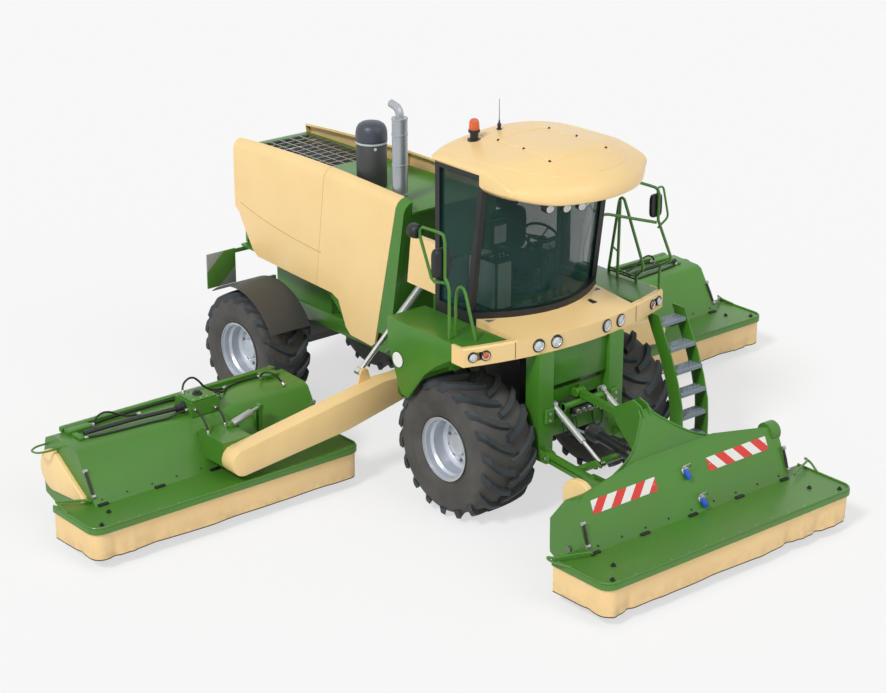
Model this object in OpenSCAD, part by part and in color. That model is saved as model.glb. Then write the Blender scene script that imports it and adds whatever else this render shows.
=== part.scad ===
// Self-propelled triple mower: a cab-forward machine with two large drive wheels in front,
// two steered wheels at the back, one mower ahead of the cab and one on a folding boom at each side.
// +Z is up, the machine faces -Y, +X is the driver's left. The ground is z = 0.

/* [Wheels] */
// Distance between the front and rear axles
wheelbase = 3850; // [3820:5:3880]
// Front tyre radius at the lug tips
front_tyre_r = 775; // [765:1:785]
// Front tyre section width
front_tyre_w = 720; // [700:5:730]
// Distance between the middles of the front tyres
front_track = 1980; // [1970:5:2000]
// Rear tyre radius at the lug tips
rear_tyre_r = 710; // [700:1:715]
// Rear tyre section width
rear_tyre_w = 600; // [580:5:610]
// Distance between the middles of the rear tyres
rear_track = 1940; // [1930:5:1960]
// Outer radius of the rim flange
rim_flange_r = 350; // [345:1:356]
// Height of the tread lugs
lug_h = 38; // [30:1:42]
// Lugs in one row of a tyre
lug_count = 18; // [16:1:20]

/* [Mowers] */
// Width over the decks of both side mowers
working_w = 9774; // [9700:2:9840]
// Inner end of a side mower's deck from the middle of the machine
side_inner_x = 1500; // [1490:5:1520]
// Front edge of the side mowers behind the front axle
side_front_y = 1160; // [1155:1:1165]
// Width of the front mower's deck
front_mower_w = 3560; // [3500:10:3620]
// Front edge of the front mower ahead of the front axle
front_mower_y = 3000; // [2980:5:3020]
// Height of the mower decks
deck_z = 480; // [470:2:490]
// Thickness of the deck and cover sheets
deck_t = 10; // [8:1:12]
// Lower edge of the curtains above the ground
curtain_z = 120; // [100:5:150]
// Cutting discs on one cutter bar
disc_count = 7; // [6:1:7]

/* [Booms] */
// Boom pivot from the middle of the machine
boom_pivot_x = 860; // [855:1:865]
// Boom pivot height
boom_pivot_z = 1000; // [995:1:1005]
// Radius of the boom pivot pin
boom_pin_r = 45; // [40:1:48]
// Thickness of the boom from front to back
boom_d = 210; // [204:2:214]

/* [Cab] */
// Half width of the cab at its pillars
cab_half_w = 900; // [895:1:905]
// Height of the cab floor
cab_floor_z = 2110; // [2106:1:2116]
// Lower edge of the cab roof
cab_eaves_z = 3740; // [3720:5:3760]
// Thickness of the cab's glass
glass_t = 8; // [6:1:9]
// Width of the cab's pillars
pillar_w = 70; // [66:1:74]

/* [Hood] */
// Half width of the hood at its front
hood_front_w = 680; // [675:1:685]
// Half width of the hood at its back
hood_rear_w = 590; // [585:1:595]
// Rear face of the hood behind the rear axle
rear_overhang = 920; // [915:1:930]
// Wall thickness of the hood panels
hood_t = 26; // [22:1:28]

/* [Hidden] */

// Clearance of running and seated faces
fit = 0.3;
// Open seam between neighbouring panels
seam = 4;
// Gap beside pieces that swing past each other
swing = 6;
// Overrun of every cut
over = 20;
$fn = 64;

// The middle of the overall box is the origin, so the front axle lies ahead of it
hood_rear_y = wheelbase + rear_overhang;
front_axle_y = (front_mower_y - hood_rear_y) / 2;
front_x = front_track / 2;
rear_x = rear_track / 2;

GREEN = [0.25, 0.5, 0.14];
CREAM = [0.95, 0.82, 0.56];
BLACK = [0.12, 0.12, 0.13];
GREY = [0.6, 0.62, 0.64];
STEEL = [0.75, 0.77, 0.8];
GLASS = [0.2, 0.3, 0.32, 0.6];
AMBER = [0.95, 0.5, 0.1];

module from_axle() {
    translate([0, front_axle_y, 0]) children();
}
module both() {
    children();
    mirror([1, 0, 0]) children();
}
// side is 1 for the driver's left and -1 for the right
module at_side(side) {
    if (side > 0) children();
    else mirror([1, 0, 0]) children();
}
module box(lo, hi) {
    translate(lo) cube(hi - lo);
}
// Prisms of an outline in the plane across the named axis
module plate_x(outline, x0, x1) {
    multmatrix([[0, 0, 1, x0], [1, 0, 0, 0], [0, 1, 0, 0], [0, 0, 0, 1]])
        linear_extrude(x1 - x0) polygon(outline);
}
module plate_y(outline, y0, y1) {
    multmatrix([[1, 0, 0, 0], [0, 0, -1, y1], [0, 1, 0, 0], [0, 0, 0, 1]])
        linear_extrude(y1 - y0) polygon(outline);
}
module plate_z(outline, z0, z1) {
    translate([0, 0, z0]) linear_extrude(z1 - z0) polygon(outline);
}
module pin_x(r, x0, x1, y, z) {
    translate([x0, y, z]) rotate([0, 90, 0]) cylinder(r = r, h = x1 - x0);
}
module pin_y(r, y0, y1, x, z) {
    translate([x, y1, z]) rotate([90, 0, 0]) cylinder(r = r, h = y1 - y0);
}
// A round bar between two points
module strut(a, b, r) {
    d = b - a;
    translate(a) rotate([0, acos(d[2] / norm(d)), atan2(d[1], d[0])]) cylinder(r = r, h = norm(d));
}
function unit(v) = v / norm(v);
// Points given as shares of the box from lo to hi
function spread(shares, lo, hi) = [for (s = shares) [for (k = [0 : len(lo) - 1]) lo[k] + s[k] * (hi[k] - lo[k])]];
function arc(c, r, a0, a1, n) = [for (i = [0 : n]) c + r * [cos(a0 + (a1 - a0) * i / n), sin(a0 + (a1 - a0) * i / n)]];
function left_of(v) = [-v[1], v[0]];
function way(p, i) = unit(p[min(i + 1, len(p) - 1)] - p[min(i, len(p) - 2)]);
function mitre(p, i) = let (a = left_of(way(p, max(i - 1, 0))), m = unit(a + left_of(way(p, i)))) m / (m * a);
// Outline of a bent sheet with its thickness on the left of the path
function sheet(p, t) = concat(p, [for (i = [len(p) - 1 : -1 : 0]) p[i] + t * mitre(p, i)]);
// Solid through sections that run anticlockwise about the way they follow each other
module skin(sections) {
    n = len(sections[0]);
    m = len(sections);
    sides = [for (k = [0 : m - 2]) for (i = [0 : n - 1]) let (a = k * n + i, b = k * n + (i + 1) % n)
        each [[a, a + n, b + n], [a, b + n, b]]];
    caps = [[for (i = [0 : n - 1]) i], [for (i = [n - 1 : -1 : 0]) (m - 1) * n + i]];
    polyhedron([for (s = sections) each s], concat(sides, caps));
}
function rounded_bar(p, i) = unit(unit(p[min(i + 1, len(p) - 1)] - p[min(i, len(p) - 2)])
    + unit(p[max(i, 1)] - p[max(i - 1, 0)]));
bar_sides = 8;
// The first ring's direction is carried along the tube without twist
function carried(p, i, ref) = let (t = rounded_bar(p, i), v = i == 0 ? ref : carried(p, i - 1, ref)) unit(v - (v * t) * t);
function bar_ring(p, i, r, ref) = let (t = rounded_bar(p, i), a = carried(p, i, ref), b = cross(t, a))
    [for (k = [0 : bar_sides - 1]) p[i] + r * (cos(360 * k / bar_sides) * a + sin(360 * k / bar_sides) * b)];
// A bent tube along points in space; ref lies across its first stretch
module bar(p, r, ref) {
    skin([for (i = [0 : len(p) - 1]) bar_ring(p, i, r, ref)]);
}

// Wheels
rim_w_share = 0.86;
flange_h = 22;
flange_t = 12;
rim_t = 10;
disc_t = 16;
front_disc_x = 60;
rear_disc_x = 40;
hub_r = 170;
spigot_r = 110;
spigot_out = 70;
rim_barrel_r = rim_flange_r - flange_h;
function rim_half(w) = w * rim_w_share / 2;
tyre_side_shares = [[0.28, 0.95], [0.52, 1.0], [0.78, 0.96], [0.93, 0.87], [1.0, 0.62]];
tread_shares = [[0.90, 0.97], [0.972, 0.94], [0.99, 0.66], [1.0, 0.25]];
lug_shares = [[-0.05, 0], [0.18, 0.11], [0.47, 0.33], [0.47, 0.43], [0.16, 0.195], [-0.05, 0.085]];
lug_foot_share = 0.84;
function flipped(p) = [for (i = [len(p) - 1 : -1 : 0]) [p[i][0], -p[i][1]]];
function tyre_side(r, w) = concat(
    [[rim_barrel_r + fit, rim_half(w) - fit], [rim_flange_r + fit, rim_half(w) - fit]],
    spread(tyre_side_shares, [rim_flange_r, 0], [r - lug_h, w / 2]));
function tread_side(r, w) = spread(concat([[lug_foot_share, tread_shares[0][1]]], tread_shares), [0, 0], [r, w / 2]);
module around_x() {
    rotate([0, 90, 0]) rotate([0, 0, 180]) children();
}
module lug_row(r, w, turn) {
    for (k = [0 : lug_count - 1]) rotate([(k + turn) * 360 / lug_count, 0, 0])
        translate([0, 0, r * lug_foot_share]) linear_extrude(r * (1 - lug_foot_share) * 2) polygon(lug_shares * w);
}
module tyre(r, w) {
    union() {
        around_x() rotate_extrude() polygon(concat(tyre_side(r, w), flipped(tyre_side(r, w))));
        intersection() {
            around_x() rotate_extrude() polygon(concat(tread_side(r, w), flipped(tread_side(r, w))));
            union() {
                lug_row(r, w, 0);
                mirror([1, 0, 0]) lug_row(r, w, 1 / 2);
            }
        }
    }
}
module rim(w, disc_x) {
    hw = rim_half(w);
    inner = rim_barrel_r - rim_t;
    bore = spigot_r + fit;
    around_x() rotate_extrude() polygon([
        [rim_flange_r, -hw - flange_t], [rim_flange_r, -hw], [rim_barrel_r, -hw], [rim_barrel_r, hw],
        [rim_flange_r, hw], [rim_flange_r, hw + flange_t], [inner, hw + flange_t], [inner, disc_x + disc_t],
        [bore, disc_x + disc_t], [bore, disc_x], [inner, disc_x], [inner, -hw - flange_t]]);
}
module at_front_wheel(side) {
    from_axle() at_side(side) translate([front_x, 0, front_tyre_r]) children();
}
module at_rear_wheel(side) {
    from_axle() at_side(side) translate([rear_x, wheelbase, rear_tyre_r]) children();
}
module front_tyre(side) {
    color(BLACK) at_front_wheel(side) tyre(front_tyre_r, front_tyre_w);
}
module rear_tyre(side) {
    color(BLACK) at_rear_wheel(side) tyre(rear_tyre_r, rear_tyre_w);
}
module front_rim(side) {
    color(STEEL) at_front_wheel(side) rim(front_tyre_w, front_disc_x);
}
module rear_rim(side) {
    color(STEEL) at_rear_wheel(side) rim(rear_tyre_w, rear_disc_x);
}

// Main frame: two rails over both axles, front posts, boom bracket and tow jaw
rail_in = 170;
rail_out = 270;
rail_z0 = 910;
rail_z1 = 1100;
post_in = 400;
post_out = 600;
post_front = -700;
post_rear = -490;
post_z0 = 680;
post_z1 = 1860;
frame_rear_in = 210;
frame_rear = hood_rear_y - frame_rear_in;
end_t = 60;
link_x = 540;
link_t = 60;
ear_t = 20;
link_pin_r = 28;
link_ear_r = 62;
link_rear = [-800, 740];
link_front = [-1440, 690];
top_rear = [-660, 1300];
top_front = top_rear + link_front - link_rear;
top_t = 64;
top_pin_r = 22;
top_ear_r = 50;
top_beam = [[-590, 1230], [-500, 1370]];
lift_x = 350;
lift_t = 60;
lift_rear = [-650, 1230];
lift_front = [-1400, 810];
lift_pin_r = 24;
beam_y0 = 1200;
beam_x = 640;
boom_in = 32;
boom_y0 = side_front_y + boom_in;
boom_y1 = boom_y0 + boom_d;
boom_ear_t = 30;
boom_ear_r = 115;
boom_ear_gap = 8;
tower_y0 = 1300;
tower_y1 = 1400;
tower_z = 2230;
ram_y0 = 1422;
ram_y1 = 1512;
ram_top = [240, 2150];
ram_foot_u = 420;
ram_foot_v = 200;
ram_foot = [boom_pivot_x + ram_foot_u, boom_pivot_z + ram_foot_v];
ram_pin_r = 30;
jaw_w = 120;
jaw_t = 30;
jaw_gap = 70;
jaw_l = 150;
jaw_bore_r = 19;
jaw_bore_out = 90;
jaw_bore_y = frame_rear + jaw_bore_out;
jaw_z = 1000;
module link_ears(at, back_y) {
    for (dx = [-link_t / 2 - swing - ear_t, link_t / 2 + swing]) {
        box([link_x + dx, min(at[0], back_y), at[1] - link_ear_r],
            [link_x + dx + ear_t, max(at[0], back_y), at[1] + link_ear_r]);
        pin_x(link_ear_r, link_x + dx, link_x + dx + ear_t, at[0], at[1]);
    }
    pin_x(link_pin_r, link_x - link_t / 2 - swing - ear_t, link_x + link_t / 2 + swing + ear_t, at[0], at[1]);
}
module top_ears(at, back_y) {
    both() box([top_t / 2 + swing, min(at[0], back_y), at[1] - top_ear_r],
        [top_t / 2 + swing + ear_t, max(at[0], back_y), at[1] + top_ear_r]);
    both() pin_x(top_ear_r, top_t / 2 + swing, top_t / 2 + swing + ear_t, at[0], at[1]);
    pin_x(top_pin_r, -top_t / 2 - swing - ear_t, top_t / 2 + swing + ear_t, at[0], at[1]);
}
module main_frame() {
    color(GREEN) from_axle() difference() {
        union() {
            both() {
                box([rail_in, post_front, rail_z0], [rail_out, frame_rear - end_t / 2, rail_z1]);
                box([post_in, post_front, post_z0], [post_out, post_rear, post_z1]);
                link_ears(link_rear, post_front);
                pin_x(lift_pin_r, lift_x - lift_t / 2, post_in + ear_t, lift_rear[0], lift_rear[1]);
                box([rail_in, tower_y0, rail_z0], [rail_out + ear_t, tower_y1, tower_z]);
                pin_y(ram_pin_r, tower_y1 - ear_t, ram_y1, ram_top[0], ram_top[1]);
                for (y = [boom_y0 - boom_ear_gap - boom_ear_t, boom_y1 + boom_ear_gap]) {
                    box([beam_x - over, y, boom_pivot_z - boom_ear_r],
                        [boom_pivot_x, y + boom_ear_t, boom_pivot_z + boom_ear_r]);
                    pin_y(boom_ear_r, y, y + boom_ear_t, boom_pivot_x, boom_pivot_z);
                }
                pin_y(boom_pin_r, boom_y0 - boom_ear_gap - boom_ear_t, boom_y1 + boom_ear_gap + boom_ear_t,
                    boom_pivot_x, boom_pivot_z);
            }
            box([-post_out, post_front, rail_z0], [post_out, post_rear, rail_z1]);
            box([-post_in - ear_t, top_beam[0][0], top_beam[0][1]],
                [post_in + ear_t, top_beam[1][0], top_beam[1][1]]);
            top_ears(top_rear, top_beam[0][0] + ear_t);
            box([-beam_x, boom_y0 - boom_ear_gap - boom_ear_t, rail_z0],
                [beam_x, boom_y1 + boom_ear_gap + boom_ear_t, rail_z1]);
            box([-rail_out, frame_rear - end_t, rail_z0], [rail_out, frame_rear, rail_z1]);
            for (z = [jaw_z - jaw_gap / 2 - jaw_t, jaw_z + jaw_gap / 2])
                box([-jaw_w / 2, frame_rear - over, z], [jaw_w / 2, frame_rear + jaw_l, z + jaw_t]);
        }
        translate([0, jaw_bore_y, jaw_z - jaw_gap]) cylinder(r = jaw_bore_r, h = jaw_gap * 2);
    }
}

// Axles
axle_r = 110;
drive_r = 230;
drive_x0 = 480;
drive_x1 = 740;
saddle_y = 110;
module front_axle() {
    face = front_x + front_disc_x - fit;
    tip = front_x + front_disc_x + disc_t + spigot_out;
    color(BLACK) from_axle() union() {
        translate([0, 0, front_tyre_r]) both() around_x() rotate_extrude() polygon([
            [0, -over], [axle_r, -over], [axle_r, drive_x0], [drive_r, drive_x0 + over], [drive_r, drive_x1],
            [hub_r, drive_x1 + over], [hub_r, face], [spigot_r, face], [spigot_r, tip], [0, tip]]);
        both() box([rail_in, -saddle_y, front_tyre_r], [rail_out, saddle_y, rail_z0]);
    }
}
beam_half = 90;
rear_beam_x = 510;
king_x = 620;
king_r = 40;
king_half = 115;
fork_t = 60;
fork_w = 75;
fork_x = 690;
module rear_axle() {
    z = rear_tyre_r;
    color(GREEN) from_axle() translate([0, wheelbase, 0]) difference() {
        union() {
            box([-rear_beam_x, -beam_half, z - beam_half], [rear_beam_x, beam_half, z + beam_half]);
            box([-rail_out, -saddle_y, z], [rail_out, saddle_y, rail_z0]);
            both() {
                box([rear_beam_x - fork_w, -fork_w, z - king_half - fork_t], [rear_beam_x, fork_w, z + king_half + fork_t]);
                for (lo = [z + king_half, z - king_half - fork_t])
                    box([rear_beam_x - over, -fork_w, lo], [fork_x, fork_w, lo + fork_t]);
            }
        }
        both() translate([king_x, 0, 0]) cylinder(r = king_r + fit, h = z * 2);
    }
}
knuckle_w = 60;
stub_r = 90;
hub_x0 = 760;
arm_t = 40;
arm_l = 250;
arm_in = 20;
arm_out = 30;
stay_y = 110;
stay_x0 = 590;
stay_x1 = 630;
stay_z = 1488;
fender_x0 = 690;
fender_w = 560;
fender_t = 8;
fender_gap = 82;
fender_rear_angle = 52;
fender_front_angle = 150;
fender_steps = 18;
pad_l = 80;
pad_lip = 4;
module knuckle(side) {
    z = rear_tyre_r;
    face = rear_x + rear_disc_x - fit;
    tip = rear_x + rear_disc_x + disc_t + spigot_out;
    color(GREEN) from_axle() at_side(side) translate([0, wheelbase, 0]) union() {
        translate([king_x, 0, z - king_half - fork_t]) cylinder(r = king_r, h = (king_half + fork_t) * 2);
        box([king_x - knuckle_w, -knuckle_w, z - king_half + swing], [king_x + knuckle_w, knuckle_w, z + king_half - swing]);
        translate([0, 0, z]) around_x() rotate_extrude() polygon([
            [0, king_x], [stub_r, king_x], [stub_r, hub_x0], [hub_r, hub_x0], [hub_r, face],
            [spigot_r, face], [spigot_r, tip], [0, tip]]);
        box([king_x - arm_in, 0, z - arm_t / 2], [king_x + arm_out, arm_l, z + arm_t / 2]);
        box([stay_x0, stay_y, z - arm_t / 2], [stay_x1, stay_y + arm_t, stay_z]);
        box([stay_x0, stay_y, stay_z - arm_t / 2], [fender_x0, stay_y + arm_t, stay_z]);
    }
}
module fender(side) {
    z = rear_tyre_r;
    r = rear_tyre_r + fender_gap;
    color(BLACK) from_axle() at_side(side) translate([0, wheelbase, 0]) union() {
        plate_x(sheet(arc([0, z], r, fender_front_angle, fender_rear_angle, fender_steps), fender_t),
            fender_x0, fender_x0 + fender_w);
        box([fender_x0, stay_y - pad_lip, stay_z - arm_t / 2 - pad_lip],
            [fender_x0 + pad_l, stay_y + arm_t + pad_lip, stay_z + pad_lip]);
    }
}

// Engine and cooler
engine = [[-330, 2050, 1100], [330, 3000, 1850]];
cooler_in = [1290, 210];
cooler = [[-430, hood_rear_y - cooler_in[0], 1690], [430, hood_rear_y - cooler_in[1], 2780]];
module engine_block() {
    color(GREY) from_axle() {
        box(engine[0], engine[1]);
        box(cooler[0], cooler[1]);
    }
}

// Hood: side panels and front strips follow one plan line, with a lip rolled in along the top
hood_y0 = 1380;
hood_z0 = 1120;
hood_top_z = 3060;
hood_crown_shares = [[0, 0.955], [0.18, 0.985], [0.48, 1.0], [0.76, 0.99], [1.0, 0.96]];
lip_in = 110;
function hood_s(y) = (y - hood_y0) / (hood_rear_y - hood_y0);
function hood_y(s) = hood_y0 + s * (hood_rear_y - hood_y0);
function hood_w(s) = hood_front_w + s * (hood_rear_w - hood_front_w);
function hood_z(share) = hood_z0 + share * (hood_top_z - hood_z0);
// Both ends of a panel are straight lines in the side view, given by a foot and a head
panel_foot_y = 2010;
panel_head_y = 1540;
strip_foot_y = 1740;
strip_head_y = 1400;
strip_z0 = 1380;
function on_line(foot, head, z) = foot + (head - foot) * (z - hood_z0) / (hood_top_z - hood_z0);
// Lower edge of the panel: share of the way to the back, share of the hood's height
lower_edge_shares = [[0, 0.05], [0.02, 0.028], [0.164, 0.036], [0.2, 0.072], [0.268, 0.222], [0.315, 0.247],
    [0.60, 0.255], [0.841, 0.265], [0.877, 0.299], [0.939, 0.428], [0.971, 0.505], [1.0, 0.536]];
seam_share = 0.42;
lip_shares = [[0, -1.0, -1, 0], [0.18, -0.52, -1, -0.1], [0.5, -0.18, -0.75, -0.66], [1.0, 0, 0, -1]];
// One section: the outer line up and the inner line down, each point at its share between the two end lines
function hood_section(s, low, ends) = let (
    front_y = on_line(ends[0], ends[1], low),
    mid = (1 - s) * front_y + s * ends[2],
    c = hood_z(lookup(hood_s(mid), hood_crown_shares)),
    rows = concat([[0, low, -1, 0]], [for (q = lip_shares) [q[0] * lip_in, c + q[1] * lip_in, q[2], q[3]]]),
    y_of = [for (q = rows) (1 - s) * on_line(ends[0], ends[1], q[1]) + s * on_line(ends[2], ends[3], q[1])],
    outer = [for (i = [0 : len(rows) - 1]) [hood_w(hood_s(y_of[i])) - rows[i][0], y_of[i], rows[i][1]]],
    inner = [for (i = [len(rows) - 1 : -1 : 0]) outer[i] + hood_t * [rows[i][2], 0, rows[i][3]]])
    concat(outer, inner);
panel_ends = [panel_foot_y, panel_head_y, hood_rear_y, hood_rear_y];
strip_ends = [strip_foot_y, strip_head_y, panel_foot_y - seam, panel_head_y - seam];
function lower_z(s) = hood_z(lookup(s, lower_edge_shares));
seam_width_share = seam / (hood_rear_y - panel_foot_y);
function panel_run(s0, s1) = concat([s0], [for (q = lower_edge_shares) if (q[0] > s0 && q[0] < s1) q[0]], [s1]);
module hood_panel(s0, s1) {
    run = panel_run(s0, s1);
    skin([for (i = [len(run) - 1 : -1 : 0]) hood_section(run[i], lower_z(run[i]), panel_ends)]);
}
module hood_sides() {
    color(CREAM) from_axle() both() {
        hood_panel(0, seam_share);
        hood_panel(seam_share + seam_width_share, 1);
    }
}
floor_z0 = 1660;
floor_z1 = 1690;
deck_top_z0 = 2860;
deck_top_z1 = 2890;
bulk_foot = [on_line(strip_foot_y, strip_head_y, strip_z0) + fit, strip_z0];
bulk_head = [on_line(strip_foot_y, strip_head_y, deck_top_z0) + fit, deck_top_z0];
bulk_half = hood_rear_w + lip_in / 2;
bulk_t = 30;
skirt_x0 = 540;
skirt_x1 = 580;
skirt_shares = [[0, 1], [0, 0.3], [0.15, 0], [0.55, 0], [1.0, 0.86], [1.0, 1]];
skirt_lo = [1740, 1110];
skirt_hi = [2980, 1660];
carrier_in = [1450, 370];
carrier = [[-260, hood_rear_y - carrier_in[0], 1100], [260, hood_rear_y - carrier_in[1], 1660]];
function hood_floor_edge(y) = [hood_w(hood_s(y)) - hood_t - fit, y];
floor_y0 = 1680;
floor_in = 70;
floor_y1 = hood_rear_y - floor_in;
floor_right = [hood_floor_edge(floor_y0), hood_floor_edge(floor_y1)];
module hood_base() {
    color(GREEN) from_axle() union() {
        difference() {
            plate_z(concat(floor_right, [for (i = [1, 0]) [-floor_right[i][0], floor_right[i][1]]]),
                floor_z0, floor_z1);
            box(engine[0] - [over, over, 0], engine[1] + [over, over, 0]);
        }
        box(carrier[0], carrier[1]);
        both() plate_x(spread(skirt_shares, skirt_lo, skirt_hi), skirt_x0, skirt_x1);
        both() skin([for (k = [1, 0]) hood_section(k, strip_z0, strip_ends)]);
        plate_x([bulk_foot, bulk_foot + [bulk_t, 0], bulk_head + [bulk_t, 0], bulk_head], -bulk_half, bulk_half);
    }
}
top_inset = 116;
screen_front_in = 1420;
screen_y0 = hood_rear_y - screen_front_in;
screen_rim = 40;
rear_wall_in = [80, 40];
rear_wall_y0 = hood_rear_y - rear_wall_in[0];
rear_wall_y1 = hood_rear_y - rear_wall_in[1];
slot_count = 7;
slot_h = 50;
slot_in = 90;
deck_front_y = bulk_head[0] - bulk_t;
function top_half(y) = hood_w(hood_s(y)) - top_inset;
screen_half = top_half(rear_wall_y1) - screen_rim;
slot_pitch = (deck_top_z0 - floor_z1) / (slot_count + 1);
module hood_top() {
    rear_half = top_half(rear_wall_y1);
    color(GREEN) from_axle() difference() {
        union() {
            plate_z([[-top_half(deck_front_y), deck_front_y], [top_half(deck_front_y), deck_front_y],
                [rear_half, rear_wall_y1], [-rear_half, rear_wall_y1]], deck_top_z0, deck_top_z1);
            box([-rear_half, rear_wall_y0, floor_z1], [rear_half, rear_wall_y1, deck_top_z1]);
        }
        box([-screen_half, screen_y0, deck_top_z0 - over],
            [screen_half, rear_wall_y0 - screen_rim, deck_top_z1 + over]);
        for (k = [1 : slot_count])
            box([-rear_half + slot_in, rear_wall_y0 - over, floor_z1 + k * slot_pitch - slot_h / 2],
            [rear_half - slot_in, rear_wall_y1 + over, floor_z1 + k * slot_pitch + slot_h / 2]);
    }
}
mesh_w = 14;
mesh_across = 7;
mesh_along = 11;
module hood_screen() {
    x1 = screen_half - fit;
    y0 = screen_y0 + fit;
    y1 = rear_wall_y0 - screen_rim - fit;
    color(GREY) from_axle() union() {
        for (k = [0 : mesh_across - 1]) let (x = -x1 + k * (x1 * 2 - mesh_w) / (mesh_across - 1))
            box([x, y0, deck_top_z0 + seam], [x + mesh_w, y1, deck_top_z1]);
        for (k = [0 : mesh_along - 1]) let (y = y0 + k * (y1 - y0 - mesh_w) / (mesh_along - 1))
            box([-x1, y, deck_top_z0 + seam], [x1, y + mesh_w, deck_top_z1 - seam]);
    }
}
cleaner_at = [-290, 2480];
cleaner_shares = [[0, 0], [0.52, 0], [0.52, 0.16], [0.86, 0.22], [0.9, 0.52], [1.0, 0.54], [1.0, 0.62], [0.97, 0.64],
    [0.97, 0.80], [0.82, 0.92], [0.5, 0.985], [0, 1]];
cleaner_r = 180;
cleaner_h = 745;
module precleaner() {
    color(BLACK) from_axle() translate([cleaner_at[0], cleaner_at[1], deck_top_z1])
        rotate_extrude() polygon(spread(cleaner_shares, [0, 0], [cleaner_r, cleaner_h]));
}
stack_at = [-430, 1800];
muffler_r = 86;
muffler_z = 3830;
stack_foot_r = 55;
stack_foot_h = 60;
pipe_r = 46;
pipe_shares = [[0, -0.1], [0, 0.35], [0.1, 0.62], [0.35, 0.84], [1.0, 1.0]];
pipe_reach = 150;
pipe_rise = 140;
module exhaust() {
    color(GREY) from_axle() translate([stack_at[0], stack_at[1], 0]) union() {
        translate([0, 0, deck_top_z1]) cylinder(r = stack_foot_r, h = stack_foot_h + over);
        translate([0, 0, deck_top_z1 + stack_foot_h])
            cylinder(r = muffler_r, h = muffler_z - deck_top_z1 - stack_foot_h);
        bar([for (p = spread(pipe_shares, [0, muffler_z], [pipe_reach, muffler_z + pipe_rise])) [0, p[0], p[1]]],
            pipe_r, [1, 0, 0]);
    }
}

// Cab
cab_rear_y = 630;
cab_corner_y = 60;
cab_bow = 350;
cab_lean = 200;
sill_h = 80;
floor_t = 70;
ring_h = 80;
screen_in = 22;
cab_steps = 8;
cab_s_shares = [for (i = [-cab_steps : cab_steps]) i / cab_steps];
function bow_y(s) = -cab_bow * (1 - s * s);
function cab_front(half, y) = [for (s = cab_s_shares) [s * half, y + bow_y(s)]];
function cab_outline(half, rear, y) = concat(cab_front(half, y), [[half, rear], [-half, rear]]);
pedestal = [[-420, -190, 1100], [420, 600, 2060]];
module cab_base() {
    color(BLACK) from_axle() union() {
        plate_z(cab_outline(cab_half_w, cab_rear_y, cab_corner_y), cab_floor_z - floor_t, cab_floor_z);
        box(pedestal[0], pedestal[1]);
    }
}
sill_z = cab_floor_z + sill_h;
ring_z = cab_eaves_z - ring_h;
top_corner_y = cab_corner_y - cab_lean;
hinge_x = 926;
hinge_y = 590;
hinge_pin_r = 12;
hinge_r = 22;
hinge_h = 110;
hinge_shares = [0.2, 0.75];
hinge_zs = [for (s = hinge_shares) sill_z + s * (ring_z - sill_z)];
module cab_ring(y, z0, z1) {
    difference() {
        plate_z(cab_outline(cab_half_w, cab_rear_y, y), z0, z1);
        plate_z(cab_outline(cab_half_w - pillar_w, cab_rear_y - pillar_w, y + pillar_w), z0 - over, z1 + over);
    }
}
function square_at(x, y, z) = [[x - pillar_w, y, z], [x, y, z], [x, y + pillar_w, z], [x - pillar_w, y + pillar_w, z]];
module cab_frame() {
    color(BLACK) from_axle() union() {
        cab_ring(cab_corner_y, cab_floor_z, sill_z);
        cab_ring(top_corner_y, ring_z, cab_eaves_z);
        both() {
            box([cab_half_w - pillar_w, cab_rear_y - pillar_w, cab_floor_z],
                [cab_half_w, cab_rear_y, cab_eaves_z]);
            skin([square_at(cab_half_w, cab_corner_y, sill_z - over),
                square_at(cab_half_w, top_corner_y, ring_z + over)]);
        }
        for (z = hinge_zs) {
            box([cab_half_w - over, hinge_y - hinge_pin_r, z - hinge_h / 2],
                [hinge_x, hinge_y + hinge_pin_r, z - swing]);
            translate([hinge_x, hinge_y, z - hinge_h / 2]) cylinder(r = hinge_pin_r, h = hinge_h);
        }
    }
}
pane_in = 30;
module cab_glass() {
    half = cab_half_w - pillar_w - fit;
    tilt = atan2(cab_lean, ring_z - sill_z);
    color(GLASS) from_axle() {
        intersection() {
            translate([0, 0, sill_z]) rotate([tilt, 0, 0]) translate([0, 0, -cab_lean])
                linear_extrude(ring_z - sill_z + cab_lean * 2)
                    polygon([for (p = sheet(cab_front(half, cab_corner_y + screen_in), glass_t)) [p[0], p[1] * cos(tilt)]]);
            box([-cab_half_w, top_corner_y - cab_bow - over, sill_z], [cab_half_w, cab_rear_y, ring_z]);
        }
        plate_x([[cab_corner_y + pillar_w + swing, sill_z], [cab_rear_y - pillar_w - fit, sill_z],
            [cab_rear_y - pillar_w - fit, ring_z], [top_corner_y + pillar_w + swing, ring_z]],
            -cab_half_w + pane_in, -cab_half_w + pane_in + glass_t);
        box([-half, cab_rear_y - pane_in - glass_t, sill_z], [half, cab_rear_y - pane_in, ring_z]);
    }
}
door_t = 36;
door_out = 6;
door_rail = 62;
door_gap = 8;
door_x0 = cab_half_w + door_out - door_t;
door_x1 = cab_half_w + door_out;
leaf_t = 12;
leaf_l = 60;
door_rear_y = cab_rear_y - pillar_w - door_gap;
function door_front_y(z) = cab_corner_y + pillar_w + door_gap - cab_lean * (z - sill_z) / (ring_z - sill_z);
function door_outline(inset) = let (z0 = sill_z + door_gap + inset, z1 = ring_z - door_gap - inset) [
    [door_front_y(z0) + inset, z0], [door_rear_y - inset, z0], [door_rear_y - inset, z1], [door_front_y(z1) + inset, z1]];
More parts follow.
